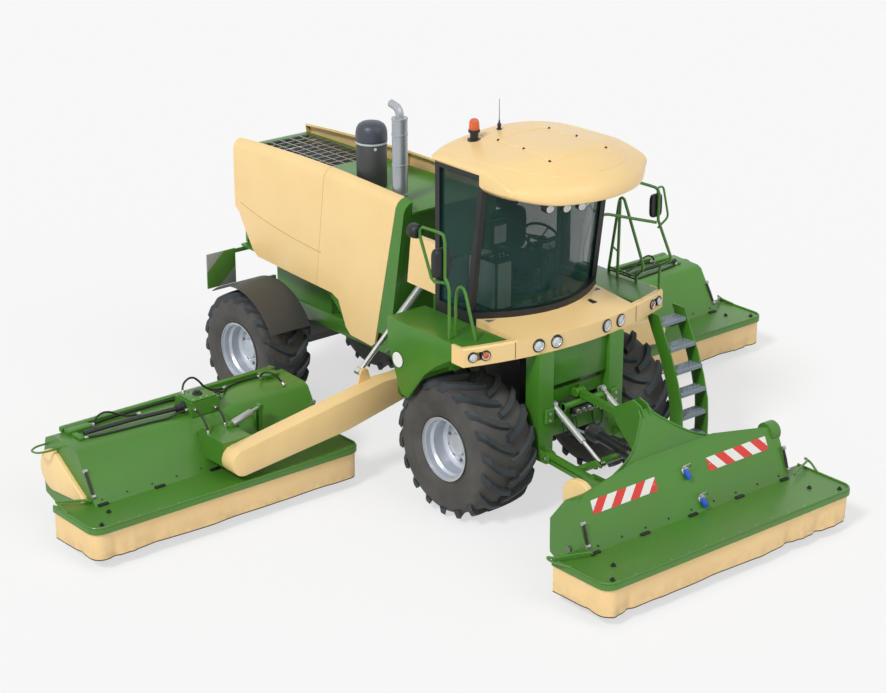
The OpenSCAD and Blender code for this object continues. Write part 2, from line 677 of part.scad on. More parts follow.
module door_frame() {
    color(BLACK) from_axle() difference() {
        union() {
            difference() {
                plate_x(door_outline(0), door_x0, door_x1);
                plate_x(door_outline(door_rail), door_x0 - over, door_x1 + over);
            }
            for (z = hinge_zs) {
                box([door_x1 - seam, door_rear_y - leaf_l, z], [door_x1 + leaf_t, hinge_y, z + hinge_h / 2]);
                translate([hinge_x, hinge_y, z]) cylinder(r = hinge_r, h = hinge_h / 2 + swing);
            }
        }
        for (z = hinge_zs) translate([hinge_x, hinge_y, z - over]) cylinder(r = hinge_pin_r + fit, h = hinge_h);
    }
}
module door_glass() {
    color(GLASS) from_axle()
        plate_x(door_outline(door_rail + fit), door_x0 + door_out, door_x0 + door_out + glass_t);
}
roof_half_w = 950;
roof_rear_y = 740;
roof_nose = 370;
visor_z = 3430;
visor_side_z = 3600;
roof_crown_z = 3930;
roof_edge_drop = 90;
visor_gap = 8;
roof_lip = 70;
roof_s_shares = [-1, -0.975, -0.93, -0.86, -0.78, -0.69, -0.6, -0.5, -0.4, -0.3, -0.2, -0.1, 0,
    0.1, 0.2, 0.3, 0.4, 0.5, 0.6, 0.69, 0.78, 0.86, 0.93, 0.975, 1];
// Shares of the nose's reach and height along its rounded front, from the top down
nose_shares = [[0.26, 0.985], [0.5, 0.92], [0.7, 0.81], [0.86, 0.63], [0.955, 0.4], [0.99, 0.18]];
nose_keep_share = 0.86;
visor_rise_share = 0.6;
lip_foot_share = 0.5;
lip_mid_share = 0.33;
function roof_section(s) = let (
    sc = min(abs(s) * roof_half_w / cab_half_w, 1),
    in_y = top_corner_y + bow_y(sc) - visor_gap,
    reach = roof_nose * sqrt(1 - nose_keep_share * pow(s, 4)),
    top = roof_crown_z - roof_edge_drop * pow(abs(s), 4),
    low = visor_z + (visor_side_z - visor_z) * pow(max(abs(s) - visor_rise_share, 0) / (1 - visor_rise_share), 2),
    foot = low + roof_lip,
    rear = roof_rear_y - roof_lip * pow(abs(s), 6))
    [for (p = concat([[in_y - reach + roof_lip * lip_foot_share, low], [in_y, low], [in_y, cab_eaves_z],
        [rear - roof_lip * lip_foot_share, cab_eaves_z], [rear, (cab_eaves_z + top) / 2 - roof_lip * lip_mid_share],
        [rear - roof_lip * lip_mid_share, top - roof_lip * lip_mid_share], [rear - roof_lip, top], [in_y, top]],
        [for (q = nose_shares) [in_y - q[0] * reach, foot + q[1] * (top - foot)]], [[in_y - reach, foot]]))
        [s * roof_half_w, p[0], p[1]]];
boss_z = 3965;
beacon_at = [-480, 500];
beacon_boss_r = 70;
aerial_at = [-100, 540];
aerial_boss_r = 30;
module cab_roof() {
    color(CREAM) from_axle() union() {
        skin([for (s = roof_s_shares) roof_section(s)]);
        translate([beacon_at[0], beacon_at[1], cab_eaves_z + roof_lip])
            cylinder(r = beacon_boss_r, h = boss_z - cab_eaves_z - roof_lip);
        translate([aerial_at[0], aerial_at[1], cab_eaves_z + roof_lip])
            cylinder(r = aerial_boss_r, h = boss_z - cab_eaves_z - roof_lip);
    }
}
beacon_shares = [[0, 0], [1, 0], [1, 0.2], [0.9, 0.24], [0.88, 0.78], [0.66, 0.95], [0, 1]];
beacon_r = 62;
beacon_h = 150;
aerial_r = 7;
aerial_z = 4250;
module beacon() {
    color(AMBER) from_axle() {
        translate([beacon_at[0], beacon_at[1], boss_z])
            rotate_extrude() polygon(spread(beacon_shares, [0, 0], [beacon_r, beacon_h]));
        translate([aerial_at[0], aerial_at[1], boss_z]) cylinder(r = aerial_r, h = aerial_z - boss_z);
    }
}
seat_box_shares = [[0.1, 0.9, 0.12, 0.85, 0, 0.3], [0, 1, 0, 0.9, 0.3, 0.42], [0.04, 0.96, 0.76, 1.0, 0.42, 1.0]];
seat_h = 1120;
seat_lo = [-260, 60, cab_floor_z];
seat_hi = [260, 560, cab_floor_z + seat_h];
module seat() {
    color(BLACK) from_axle() union() {
        for (s = seat_box_shares)
            box([for (k = [0 : 2]) seat_lo[k] + s[2 * k] * (seat_hi[k] - seat_lo[k])],
                [for (k = [0 : 2]) seat_lo[k] + s[2 * k + 1] * (seat_hi[k] - seat_lo[k])]);
    }
}
column_foot_y = -110;
column_top = [-40, 2860];
column_r = 45;
steer_r = 200;
steer_rim_r = 15;
steer_tilt = 30;
spoke_angles = [30, 150, 270];
console = [[-560, 40], [-330, 500]];
console_h = 560;
screen_box = [[-600, 70, 2830], [-380, 110, 3120]];
arm_w = 32;
module controls() {
    color(BLACK) from_axle() {
        union() {
            translate([0, column_foot_y, cab_floor_z]) cylinder(r = column_r * 2, h = over * 2);
            strut([0, column_foot_y, cab_floor_z + over], [0, column_top[0], column_top[1]], column_r);
            translate([0, column_top[0], column_top[1]]) rotate([steer_tilt, 0, 0]) {
                rotate_extrude() translate([steer_r, 0]) circle(r = steer_rim_r);
                for (a = spoke_angles) rotate([0, 0, a]) rotate([0, 90, 0]) cylinder(r = steer_rim_r / 2, h = steer_r);
            }
        }
        union() {
            box([console[0][0], console[0][1], cab_floor_z],
                [console[1][0], console[1][1], cab_floor_z + console_h]);
            box([console[0][0] + arm_w, screen_box[0][1] + seam, cab_floor_z + console_h - over],
                [console[0][0] + arm_w * 2, screen_box[1][1] - seam, screen_box[0][2] + over]);
            box(screen_box[0], screen_box[1]);
        }
    }
}

// Front fascia, platforms and lamps
fascia_half = 1420;
fascia_z0 = 1860;
fascia_z1 = 2062;
fascia_rise = 60;
fascia_front = -705;
fascia_sweep = 255;
bonnet_half = 850;
band_t = 70;
fascia_return = 190;
end_band_t = 30;
fascia_s_shares = [for (i = [-6 : 6]) i / 6];
function fascia_y(x) = fascia_front + fascia_sweep * pow(x / fascia_half, 2);
function floor_front_y(x) = cab_corner_y + bow_y(min(abs(x) / cab_half_w, 1));
function bonnet_section(x) = [for (p = [[fascia_y(x), fascia_z0], [floor_front_y(x) - seam, fascia_z0],
    [floor_front_y(x) - seam, fascia_z1 + fascia_rise], [fascia_y(x) + band_t, fascia_z1], [fascia_y(x), fascia_z1 - over]]) [x, p[0], p[1]]];
function band_section(x) = [for (p = [[fascia_y(x), fascia_z0], [fascia_y(x) + band_t, fascia_z0],
    [fascia_y(x) + band_t, fascia_z1], [fascia_y(x) + over, fascia_z1], [fascia_y(x), fascia_z1 - over]]) [x, p[0], p[1]]];
lamp_xs = [360, 585];
lamp_r = 58;
lamp_z = 1962;
lamp_depth = 42;
lamp_out = 10;
corner_lamp_x = 1250;
corner_lamp_w = 130;
corner_lamp_h = 90;
module lamp_spots(grow) {
    both() for (x = lamp_xs)
        pin_y(lamp_r + grow, fascia_y(x) - lamp_out - grow * over, fascia_y(x) + lamp_depth, x, lamp_z);
    both() let (y = fascia_y(corner_lamp_x))
        box([corner_lamp_x - corner_lamp_w / 2 - grow, y - lamp_out * 3 - grow * over, lamp_z - corner_lamp_h / 2 - grow],
            [corner_lamp_x + corner_lamp_w / 2 + grow, y + lamp_depth, lamp_z + corner_lamp_h / 2 + grow]);
}
band_s_shares = [0, 0.33, 0.67, 1];
band_xs = [for (s = band_s_shares) bonnet_half - over + s * (fascia_half - bonnet_half + over)];
// Rear face of the band between its sections
function band_back(x) = lookup(x, [for (q = band_xs) [q, fascia_y(q)]]) + band_t + seam;
// A cream panel behind the cab's right corner
rear_panel_shares = [[0, 0], [1, 0.02], [0.86, 1], [0, 1]];
rear_panel_l = 470;
rear_panel_z0 = 2240;
rear_panel_z1 = 2800;
rear_panel_t = 70;
module fascia() {
    color(CREAM) from_axle() plate_x(spread(rear_panel_shares, [cab_rear_y + fit, rear_panel_z0],
        [cab_rear_y + rear_panel_l, rear_panel_z1]), -cab_half_w, -cab_half_w + rear_panel_t);
    color(CREAM) from_axle() difference() {
        union() {
            skin([for (s = fascia_s_shares) bonnet_section(s * bonnet_half)]);
            both() skin([for (x = band_xs) band_section(x)]);
            both() box([fascia_half - end_band_t, fascia_y(fascia_half) + over, fascia_z0],
                [fascia_half, fascia_y(fascia_half) + fascia_return, fascia_z1]);
        }
        lamp_spots(1);
    }
}
roof_lamp_xs = [-460, 0, 460];
roof_lamp = [[-70, -60, -62], [70, 50, 0]];
module lamps() {
    color(STEEL) from_axle() {
        lamp_spots(0);
        for (x = roof_lamp_xs) let (y = top_corner_y + bow_y(x / cab_half_w) - roof_nose / 2)
            translate([x, y, visor_z]) box(roof_lamp[0], roof_lamp[1]);
    }
}
deck_z0 = 2035;
deck_z1 = 2065;
platform_rear = 800;
cheek_t = 30;
cheek_shares = [[0, 1], [0, 0.78], [0.24, 0.60], [0.42, 0.42], [0.68, 0.0], [0.78, 0.02], [0.985, 0.62], [1, 1]];
cheek_z0 = 1240;
panel_z0 = 1450;
panel_y0 = -650;
panel_y1 = -615;
module platforms() {
    x0 = cab_half_w + fit;
    x1 = fascia_half - cheek_t;
    return_y = fascia_y(fascia_half) + fascia_return + seam;
    color(GREEN) from_axle() {
        both() union() {
            plate_z(concat([for (x = [x0, band_xs[1], band_xs[2], x1 - fit]) [x, band_back(x)]],
                [[x1 - fit, return_y], [x1 + over, return_y], [x1 + over, platform_rear], [x0, platform_rear]]),
                deck_z0, deck_z1);
            plate_x(spread(cheek_shares, [return_y, cheek_z0], [platform_rear, deck_z1]), x1, fascia_half);
        }
        box([-post_in + fit, panel_y0, panel_z0], [post_in - fit, panel_y1, fascia_z0 - fit]);
    }
}

// Ladder, rails, mirrors and boards
ladder_in = 230;
ladder_gap = 410;
ladder_x0 = fascia_half - ladder_in;
ladder_x1 = ladder_x0 + ladder_gap;
stringer_t = 16;
ladder_edge_shares = [[0.0, 0.99], [0.22, 0.86], [0.52, 0.70], [0.78, 0.52], [0.96, 0.34], [1, 0.18], [1, 0]];
ladder_rear = [-440, 420];
ladder_front = [-850, 1860];
ladder_w = 190;
step_t = 40;
step_shares = [[0.13, 0.905], [0.50, 0.735], [0.76, 0.575], [0.94, 0.405], [1.0, 0.225], [1.0, 0.04]];
function ladder_pts(shares) = spread(shares, ladder_rear, ladder_front);
ladder_edge = ladder_pts(ladder_edge_shares);
module ladder() {
    n = len(ladder_edge) - 1;
    front = [for (i = [n : -1 : 0]) [ladder_edge[i][0] - ladder_w, ladder_edge[i][1]]];
    outline = concat([[ladder_edge[0][0], fascia_z0]], ladder_edge, front, [[ladder_edge[0][0] - ladder_w, fascia_z0]]);
    color(GREEN) from_axle() union() {
        for (x = [ladder_x0, ladder_x1 - stringer_t]) plate_x(outline, x, x + stringer_t);
        for (p = ladder_pts(step_shares)) box([ladder_x0 + stringer_t / 2, p[0] - ladder_w + over, p[1]],
            [ladder_x1 - stringer_t / 2, p[0] - over / 2, p[1] + step_t]);
    }
}
rail_r = 17;
handrail_in = 58;
rail_x = fascia_half - handrail_in;
// Rails in the side view, as shares of the box from lo to hi
left_rail_shares = [[0, 0], [0, 0.06], [0.25, 0.93], [0.28, 0.98], [0.335, 1.0], [0.40, 0.985], [0.44, 0.94],
    [1.0, 0.25], [1.0, 0.18], [0.83, 0.085], [0.81, 0.055], [0.81, 0]];
left_rail_lo = [340, deck_z1];
left_rail_hi = [-190, 2970];
leg_foot = [-62, 140];
leg_head = [-40, 150, 2950];
hoop_shares = [[0, 0], [0, 0.06], [0.5, 0.9], [0.6, 0.98], [0.72, 1.0], [0.86, 0.96], [0.95, 0.85], [1, 0.6], [1, 0]];
hoop_lo = [-350, deck_z1];
hoop_hi = [-40, 2590];
hoop_in = 240;
// The right mirrors hang on one bent tube
mirror_post_share = 0.15;
mirror_frame_shares = [[0, 0], [0, 0.48], [0.053, 0.543], [mirror_post_share, 0.587], [mirror_post_share, 0.928],
    [0.203, 0.991], [0.331, 1.0], [0.908, 0.991], [1.0, 0.955], [1.0, 0.892], [0.609, 0.534], [0.502, 0.507], [0.139, 0.538]];
mirror_lo = [-155, deck_z1];
mirror_hi = [313, 3180];
// The left mirror's guard rises from the fascia and ends at the front pillar
guard_shares = [[0.833, 0.285, 0], [0.833, 0.285, 0.176], [0.837, 0.254, 0.214], [0.853, 0.099, 0.249],
    [0.867, 0.017, 0.268], [0.877, 0, 0.299], [1, 0.591, 0.561], [1, 0.591, 0.792], [1, 0.626, 0.819],
    [0.983, 0.688, 0.837], [0.9, 0.76, 0.854], [0.183, 0.996, 0.988], [0.108, 1, 1], [0, 1, 1]];
guard_lo = [cab_half_w + fit, -548, fascia_z1];
guard_hi = [1500, -64, 3360];
guard = spread(guard_shares, guard_lo, guard_hi);
guard_post = 6;
guard_stay_shares = [[0, 1, 1], [0.105, 1, 1], [0.175, 0.954, 0.955], [1, 0, 0]];
guard_stay_lo = [cab_half_w + fit, -266, 2768];
guard_stay_hi = [1471, -4, 2900];
module handrails() {
    color(GREEN) from_axle() {
        bar([for (q = spread(left_rail_shares, left_rail_lo, left_rail_hi)) [rail_x, q[0], q[1]]], rail_r, [1, 0, 0]);
        bar([[rail_x + leg_foot[0], leg_foot[1], deck_z1], [rail_x + leg_foot[0], leg_foot[1], deck_z1 + over],
            leg_head + [rail_x, 0, 0]], rail_r, [1, 0, 0]);
        bar([for (q = spread(hoop_shares, hoop_lo, hoop_hi)) [hoop_in - fascia_half, q[0], q[1]]], rail_r, [1, 0, 0]);
        bar([for (q = spread(mirror_frame_shares, mirror_lo, mirror_hi)) [-rail_x, q[0], q[1]]], rail_r, [1, 0, 0]);
        bar(guard, rail_r, [1, 0, 0]);
        bar(spread(guard_stay_shares, guard_stay_lo, guard_stay_hi), rail_r, [0, 0, 1]);
    }
}
mirror_w = 200;
mirror_d = 98;
mirror_h = 320;
mirror_up = 635;
round_head_r = 78;
round_head_l = 120;
round_head_drop = 80;
left_head_w = 160;
left_head_d = 55;
left_head_up = 25;
left_head_h = 262;
module mirror_heads() {
    post_y = mirror_lo[0] + mirror_post_share * (mirror_hi[0] - mirror_lo[0]) + rail_r + fit;
    round_y = mirror_hi[0] + rail_r + fit;
    post = guard[guard_post] + [0, rail_r + fit, left_head_up];
    color(BLACK) from_axle() {
        translate([-rail_x, post_y, mirror_lo[1] + mirror_up]) box([-mirror_w / 2, 0, 0], [mirror_w / 2, mirror_d, mirror_h]);
        pin_y(round_head_r, round_y, round_y + round_head_l, -rail_x, mirror_hi[1] - round_head_drop);
        translate(post) box([-left_head_w / 2, 0, 0], [left_head_w / 2, left_head_d, left_head_h]);
    }
}
board_x0 = 690;
board_x1 = 1100;
board_in = 120;
board_y0 = hood_rear_y - board_in;
board_t = 18;
board_z0 = 1240;
board_z1 = 1670;
board_bar_h = 50;
module rear_boards() {
    color(GREY) from_axle() union() {
        both() box([board_x0, board_y0, board_z0], [board_x1, board_y0 + board_t, board_z1]);
        box([-board_x0 - over, board_y0, floor_z0 - board_bar_h],
            [board_x0 + over, board_y0 + board_t, floor_z0]);
    }
}

// Front linkage
link_h = 110;
link_eye_r = 58;
tie_r = 42;
tie_at = [-1190, 712];
lug_t = 22;
module eye_link(a, b, half_t, eye_r, pin_r, h) {
    d = unit(b - a);
    n = left_of(d) * h / 2;
    difference() {
        union() {
            plate_x([a - n, b - n, b + n, a + n], -half_t, half_t);
            pin_x(eye_r, -half_t, half_t, a[0], a[1]);
            pin_x(eye_r, -half_t, half_t, b[0], b[1]);
        }
        pin_x(pin_r + fit, -half_t - over, half_t + over, a[0], a[1]);
        pin_x(pin_r + fit, -half_t - over, half_t + over, b[0], b[1]);
    }
}
module front_links() {
    lug_x = lift_x + lift_t / 2 + swing;
    color(GREEN) from_axle() union() {
        both() translate([link_x, 0, 0])
            eye_link(link_rear, link_front, link_t / 2, link_eye_r, link_pin_r, link_h);
        pin_x(tie_r, -link_x, link_x, tie_at[0], tie_at[1]);
        both() plate_x([tie_at + [tie_r, 0], tie_at - [tie_r, 0], lift_front - [tie_r, 0], lift_front + [tie_r, tie_r]],
            lug_x, lug_x + lug_t);
    }
}
top_h = 70;
top_eye_r = 46;
module front_top_link() {
    color(GREEN) from_axle() eye_link(top_rear, top_front, top_t / 2, top_eye_r, top_pin_r, top_h);
}
// A ram's body and rod lie along the way from its pin a to its free eye b
lift_body_share = 0.62;
lift_rod_share = 0.45;
lift_body_r = 34;
lift_rod_r = 20;
lift_eye_r = 46;
bore_gap = 0.3;
rod_eye_share = 0.8;
module ram_body(l, r, rod_r, eye_r, eye_t, pin_r, body_share, bore_share) {
    difference() {
        union() {
            cylinder(r = r, h = l * body_share);
            rotate([0, 90, 0]) translate([0, 0, -eye_t / 2]) cylinder(r = eye_r, h = eye_t);
        }
        translate([0, 0, l * bore_share]) cylinder(r = rod_r + bore_gap, h = l);
        rotate([0, 90, 0]) translate([0, 0, -eye_t]) cylinder(r = pin_r + fit, h = eye_t * 2);
    }
}
module ram_rod(l, rod_r, eye_r, eye_t, rod_share) {
    union() {
        translate([0, 0, l * rod_share]) cylinder(r = rod_r, h = l * (1 - rod_share));
        translate([0, 0, l]) rotate([0, 90, 0]) translate([0, 0, -eye_t / 2]) cylinder(r = eye_r, h = eye_t);
    }
}
lift_l = norm(lift_front - lift_rear);
lift_a = atan2(lift_front[0] - lift_rear[0], lift_front[1] - lift_rear[1]);
lift_bore_share = 0.16;
module at_lift() {
    from_axle() both() translate([lift_x, lift_rear[0], lift_rear[1]]) rotate([-lift_a, 0, 0]) children();
}
module front_barrels() {
    color(STEEL) at_lift() ram_body(lift_l, lift_body_r, lift_rod_r, lift_eye_r, lift_t - swing, lift_pin_r,
        lift_body_share, lift_bore_share);
}
module front_rods() {
    color(STEEL) at_lift() ram_rod(lift_l, lift_rod_r, lift_eye_r * rod_eye_share, lift_t - swing, lift_rod_share);
}

// Mowers: local x runs along the mower, local y from its front edge to the back
apron_back = 790;
lip_h = 60;
corner_r = 140;
corner_steps = 5;
side_housing_shares = [[0, 0], [0.30, 0.91], [0.36, 0.965], [0.78, 1.0], [0.93, 0.87], [1.0, 0.40], [1.0, -0.10]];
front_housing_shares = [[0, 0], [0.36, 0.93], [0.42, 0.985], [0.52, 1.0], [0.62, 0.96], [1.0, 0.42], [1.0, -0.10]];
end_foot_shares = [[0.99, -0.32], [0.5, -0.60], [0.0, -0.76]];
end_t2 = 12;
knife_y0 = 200;
knife_y1 = 460;
knife_z0 = 50;
knife_z1 = 108;
disc_y = 290;
disc_r_share = 0.455;
disc_h = 46;
rotor_y_share = 0.48;
rotor_z = 455;
rotor_r = 80;
rotor_shaft_r = 30;
tine_r = 240;
tine_w = 14;
tine_pitch = 260;
tine_ways = 4;
curtain_t = 8;
curtain_in = 16;
// Rows hold the deck's ends, the housing's ends, the housing's front, depth and height, and its shares
side_outer_x = working_w / 2;
front_half = front_mower_w / 2;
housing_in = 120;
housing_out = 330;
front_housing_in = 330;
side_housing_y = 500;
side_housing_d = 1010;
side_housing_h = 540;
front_housing_y = 620;
front_housing_d = 560;
front_housing_h = 500;
SIDE = [side_inner_x, side_outer_x, side_inner_x + housing_in, side_outer_x - housing_out,
    side_housing_y, side_housing_d, side_housing_h, side_housing_shares];
FRONT = [-front_half, front_half, -front_half + front_housing_in, front_half - front_housing_in,
    front_housing_y, front_housing_d, front_housing_h, front_housing_shares];
c_x0 = 0;
c_x1 = 1;
c_h0 = 2;
c_h1 = 3;
c_y = 4;
c_d = 5;
c_h = 6;
c_s = 7;
function deck_plan(m, inset) = concat(
    [[m[c_x0] + inset, apron_back]],
    arc([m[c_x0] + corner_r, corner_r], corner_r - inset, 180, 270, corner_steps),
    arc([m[c_x1] - corner_r, corner_r], corner_r - inset, 270, 360, corner_steps),
    [[m[c_x1] - inset, apron_back]]);
function housing_path(m) = spread(m[c_s], [m[c_y], deck_z], [m[c_y] + m[c_d], deck_z + m[c_h]]);
function rotor_at(m) = [m[c_y] + rotor_y_share * m[c_d], rotor_z];
function end_outline(m) = concat(housing_path(m),
    spread(end_foot_shares, [m[c_y], deck_z], [m[c_y] + m[c_d], deck_z + m[c_h]]),
    [[knife_y0 - over, knife_z0], [knife_y0 - over, deck_z - deck_t / 2], [m[c_y], deck_z - deck_t / 2]]);
function reversed(p) = [for (i = [len(p) - 1 : -1 : 0]) p[i]];
module deck(m) {
    difference() {
        union() {
            difference() {
                plate_z(deck_plan(m, 0), deck_z - deck_t, deck_z);
                box([m[c_h0], m[c_y] + deck_t, deck_z - over], [m[c_h1], apron_back + over, deck_z + over]);
            }
            plate_z(sheet(deck_plan(m, 0), deck_t), deck_z - lip_h, deck_z);
            plate_x(sheet(reversed(housing_path(m)), deck_t), m[c_h0], m[c_h1]);
            for (x = [m[c_h0], m[c_h1] - end_t2]) plate_x(end_outline(m), x, x + end_t2);
        }
        pin_x(rotor_shaft_r + fit, m[c_h0] - over, m[c_h1] + over, rotor_at(m)[0], rotor_at(m)[1]);
    }
}
module curtain(m) {
    plate_z(sheet(deck_plan(m, curtain_in), curtain_t), curtain_z, deck_z - deck_t);
}
module cutter_bar(m) {
    x0 = m[c_h0] + end_t2;
    l = m[c_h1] - end_t2 - x0;
    union() {
        box([x0, knife_y0, knife_z0], [x0 + l, knife_y1, knife_z1]);
        for (k = [0 : disc_count - 1]) let (r = l / disc_count * disc_r_share)
            translate([x0 + (k + 1 / 2) * l / disc_count, disc_y, knife_z1 - over]) cylinder(r1 = r, r2 = r / 2, h = disc_h + over);
    }
}
module rotor(m) {
    x0 = m[c_h0] + end_t2 + over;
    x1 = m[c_h1] - end_t2 - over;
    rows = floor((x1 - x0) / tine_pitch);
    at = rotor_at(m);
    union() {
        pin_x(rotor_r, x0, x1, at[0], at[1]);
        pin_x(rotor_shaft_r, m[c_h0] - over, m[c_h1] + over, at[0], at[1]);
        for (k = [0 : rows - 1], a = [0 : tine_ways - 1])
            translate([x0 + (k + 1 / 2) * (x1 - x0) / rows, at[0], at[1]])
                rotate([(a + (k % 2) / 2) * 360 / tine_ways, 0, 0])
                    box([-tine_w / 2, -tine_w / 2, 0], [tine_w / 2, tine_w / 2, tine_r]);
    }
}
module at_front_mower() {
    from_axle() translate([0, -front_mower_y, 0]) children();
}
// The headstock's two plates carry the top link's pin, and a sloping plate closes their front
frame_peak_shares = [[0.975, 0.627], [1, 0.807], [0.671, 1], [0.522, 0.952], [0.422, 0.783], [0, 0.337], [0.286, 0]];
frame_peak_lo = [-2060, 660];
frame_peak_hi = [-1255, 1490];
peak_half = 60;
peak_foot_half = 420;
peak_t = 30;
peak_plate = [[-2050, 960], [-1710, 1310]];
// The cover's front sheet ends in a low gable
crown_t = 20;
crown_in = 2;
// Shares of the housing's half width and of its height
crown_shares = [[0.98, 0.75], [0.98, 0.92], [0.89, 1.09], [0.386, 1.32]];
crown_tilt = atan2(front_housing_shares[1][0] * front_housing_d, front_housing_shares[1][1] * front_housing_h);
crown_edge = [for (q = crown_shares) [q[0] * FRONT[c_h1], q[1] * front_housing_h / cos(crown_tilt)]];
module front_deck() {
    color(GREEN) union() {
        at_front_mower() deck(FRONT);
        at_front_mower() translate([0, front_housing_y, deck_z]) rotate([-crown_tilt, 0, 0])
            plate_y(concat(crown_edge, [for (i = [len(crown_edge) - 1 : -1 : 0]) [-crown_edge[i][0], crown_edge[i][1]]]),
                crown_in, crown_in + crown_t);
        from_axle() {
            both() link_ears(link_front, -front_mower_y + FRONT[c_y] + FRONT[c_d] - deck_t);
            both() plate_x(spread(frame_peak_shares, frame_peak_lo, frame_peak_hi), top_t / 2 + swing, top_t / 2 + swing + ear_t);
            pin_x(top_pin_r, -top_t / 2 - swing - ear_t, top_t / 2 + swing + ear_t, top_front[0], top_front[1]);
            skin([for (k = [0, 1]) let (h = [peak_foot_half, peak_half][k], y = peak_plate[k][0], z = peak_plate[k][1])
                [[-h, y, z], [h, y, z], [h, y + peak_t, z], [-h, y + peak_t, z]]]);
        }
    }
}
module front_curtain() {
    color(CREAM) at_front_mower() curtain(FRONT);
}
module front_cutter_bar() {
    color(GREY) at_front_mower() cutter_bar(FRONT);
}
module front_rotor() {
    color(GREY) at_front_mower() rotor(FRONT);
}
module at_side_mower(side) {
    from_axle() at_side(side) translate([0, side_front_y, 0]) children();
}
// The head joins the boom's outer end to the mower and carries its gearbox
head_x0 = 2780;
head_x1 = 3140;
head_z0 = 610;
head_z1 = 880;
head_y1 = 700;
gear_y0 = 810;
gear_y1 = 1130;
gear_z0 = 990;
gear_z1 = 1150;
module side_deck(side) {
    color(GREEN) at_side_mower(side) union() {
        deck(SIDE);
        box([head_x0, boom_y1 - side_front_y, head_z0], [head_x1, head_y1, head_z1]);
        box([head_x0, gear_y0, gear_z0], [head_x1, gear_y1, gear_z1]);
    }
}
module side_curtain(side) {
    color(CREAM) at_side_mower(side) curtain(SIDE);
}
module side_cutter_bar(side) {
    color(GREY) at_side_mower(side) cutter_bar(SIDE);
}
module side_rotor(side) {
    color(GREY) at_side_mower(side) rotor(SIDE);
}
boom_end = [3020, 695];
boom_end_r = 145;
boom_eye_r = 130;
boom_top_u = 270;
boom_top_v = 135;
boom_low_u = 790;
boom_low_v = -300;
ram_ear_t = 24;
ram_ear_r = 60;
module boom(side) {
    p = [boom_pivot_x, boom_pivot_z];
    outline = concat(arc(p, boom_eye_r, 90, 250, 12), [p + [boom_low_u, boom_low_v]],
        arc(boom_end, boom_end_r, 264, 444, 16), [p + [boom_top_u, boom_top_v]]);
    color(CREAM) from_axle() at_side(side) difference() {
        union() {
            plate_y(outline, boom_y0, boom_y1);
            plate_y([p + [ram_foot_u - ram_ear_r * 2, 0], p + [ram_foot_u + ram_ear_r * 2, 0],
                ram_foot + [ram_ear_r, 0], ram_foot - [ram_ear_r, 0]], boom_y1 - ram_ear_t, boom_y1);
            pin_y(ram_ear_r, boom_y1 - ram_ear_t, boom_y1, ram_foot[0], ram_foot[1]);
        }
        pin_y(boom_pin_r + fit, boom_y0 - over, boom_y1 + over, boom_pivot_x, boom_pivot_z);
    }
}
ram_l = norm(ram_foot - ram_top);
ram_a = atan2(ram_foot[0] - ram_top[0], ram_foot[1] - ram_top[1]);
ram_r = 44;
ram_rod_r = 28;
ram_eye_r = 56;
ram_body_share = 0.53;
ram_bore_share = 0.075;
ram_rod_share = 0.49;
module at_ram(side) {
    from_axle() at_side(side) translate([ram_top[0], (ram_y0 + ram_y1) / 2, ram_top[1]])
        rotate([0, ram_a, 0]) rotate([0, 0, 90]) children();
}
module barrel(side) {
    color(STEEL) at_ram(side) ram_body(ram_l, ram_r, ram_rod_r, ram_eye_r, ram_y1 - ram_y0 - swing, ram_pin_r,
        ram_body_share, ram_bore_share);
}
module rod(side) {
    color(STEEL) at_ram(side)
        ram_rod(ram_l, ram_rod_r, ram_eye_r * rod_eye_share, ram_y1 - ram_y0 - swing, ram_rod_share);
}

main_frame();
front_axle();
rear_axle();
engine_block();
hood_sides();
hood_top();
hood_screen();
hood_base();
precleaner();
exhaust();
cab_base();
cab_frame();
cab_roof();
cab_glass();
seat();
controls();
fascia();
platforms();
lamps();
beacon();
ladder();
handrails();
mirror_heads();
rear_boards();
front_tyre(1);  // front_tyre_left
front_tyre(-1);  // front_tyre_right
rear_tyre(1);  // rear_tyre_left
rear_tyre(-1);  // rear_tyre_right
front_rim(1);  // front_rim_left
front_rim(-1);  // front_rim_right
rear_rim(1);  // rear_rim_left
rear_rim(-1);  // rear_rim_right
knuckle(1);  // knuckle_left
knuckle(-1);  // knuckle_right
fender(1);  // fender_left
fender(-1);  // fender_right
door_frame();
door_glass();
front_links();
front_top_link();
front_barrels();
front_rods();
front_deck();
front_curtain();
front_cutter_bar();
front_rotor();
boom(1);  // boom_left
side_deck(1);  // side_deck_left
side_curtain(1);  // side_curtain_left
side_cutter_bar(1);  // side_cutter_bar_left
side_rotor(1);  // side_rotor_left
barrel(1);  // barrel_left
rod(1);  // rod_left
boom(-1);  // boom_right
side_deck(-1);  // side_deck_right
side_curtain(-1);  // side_curtain_right
side_cutter_bar(-1);  // side_cutter_bar_right
side_rotor(-1);  // side_rotor_right
barrel(-1);  // barrel_right
rod(-1);  // rod_right
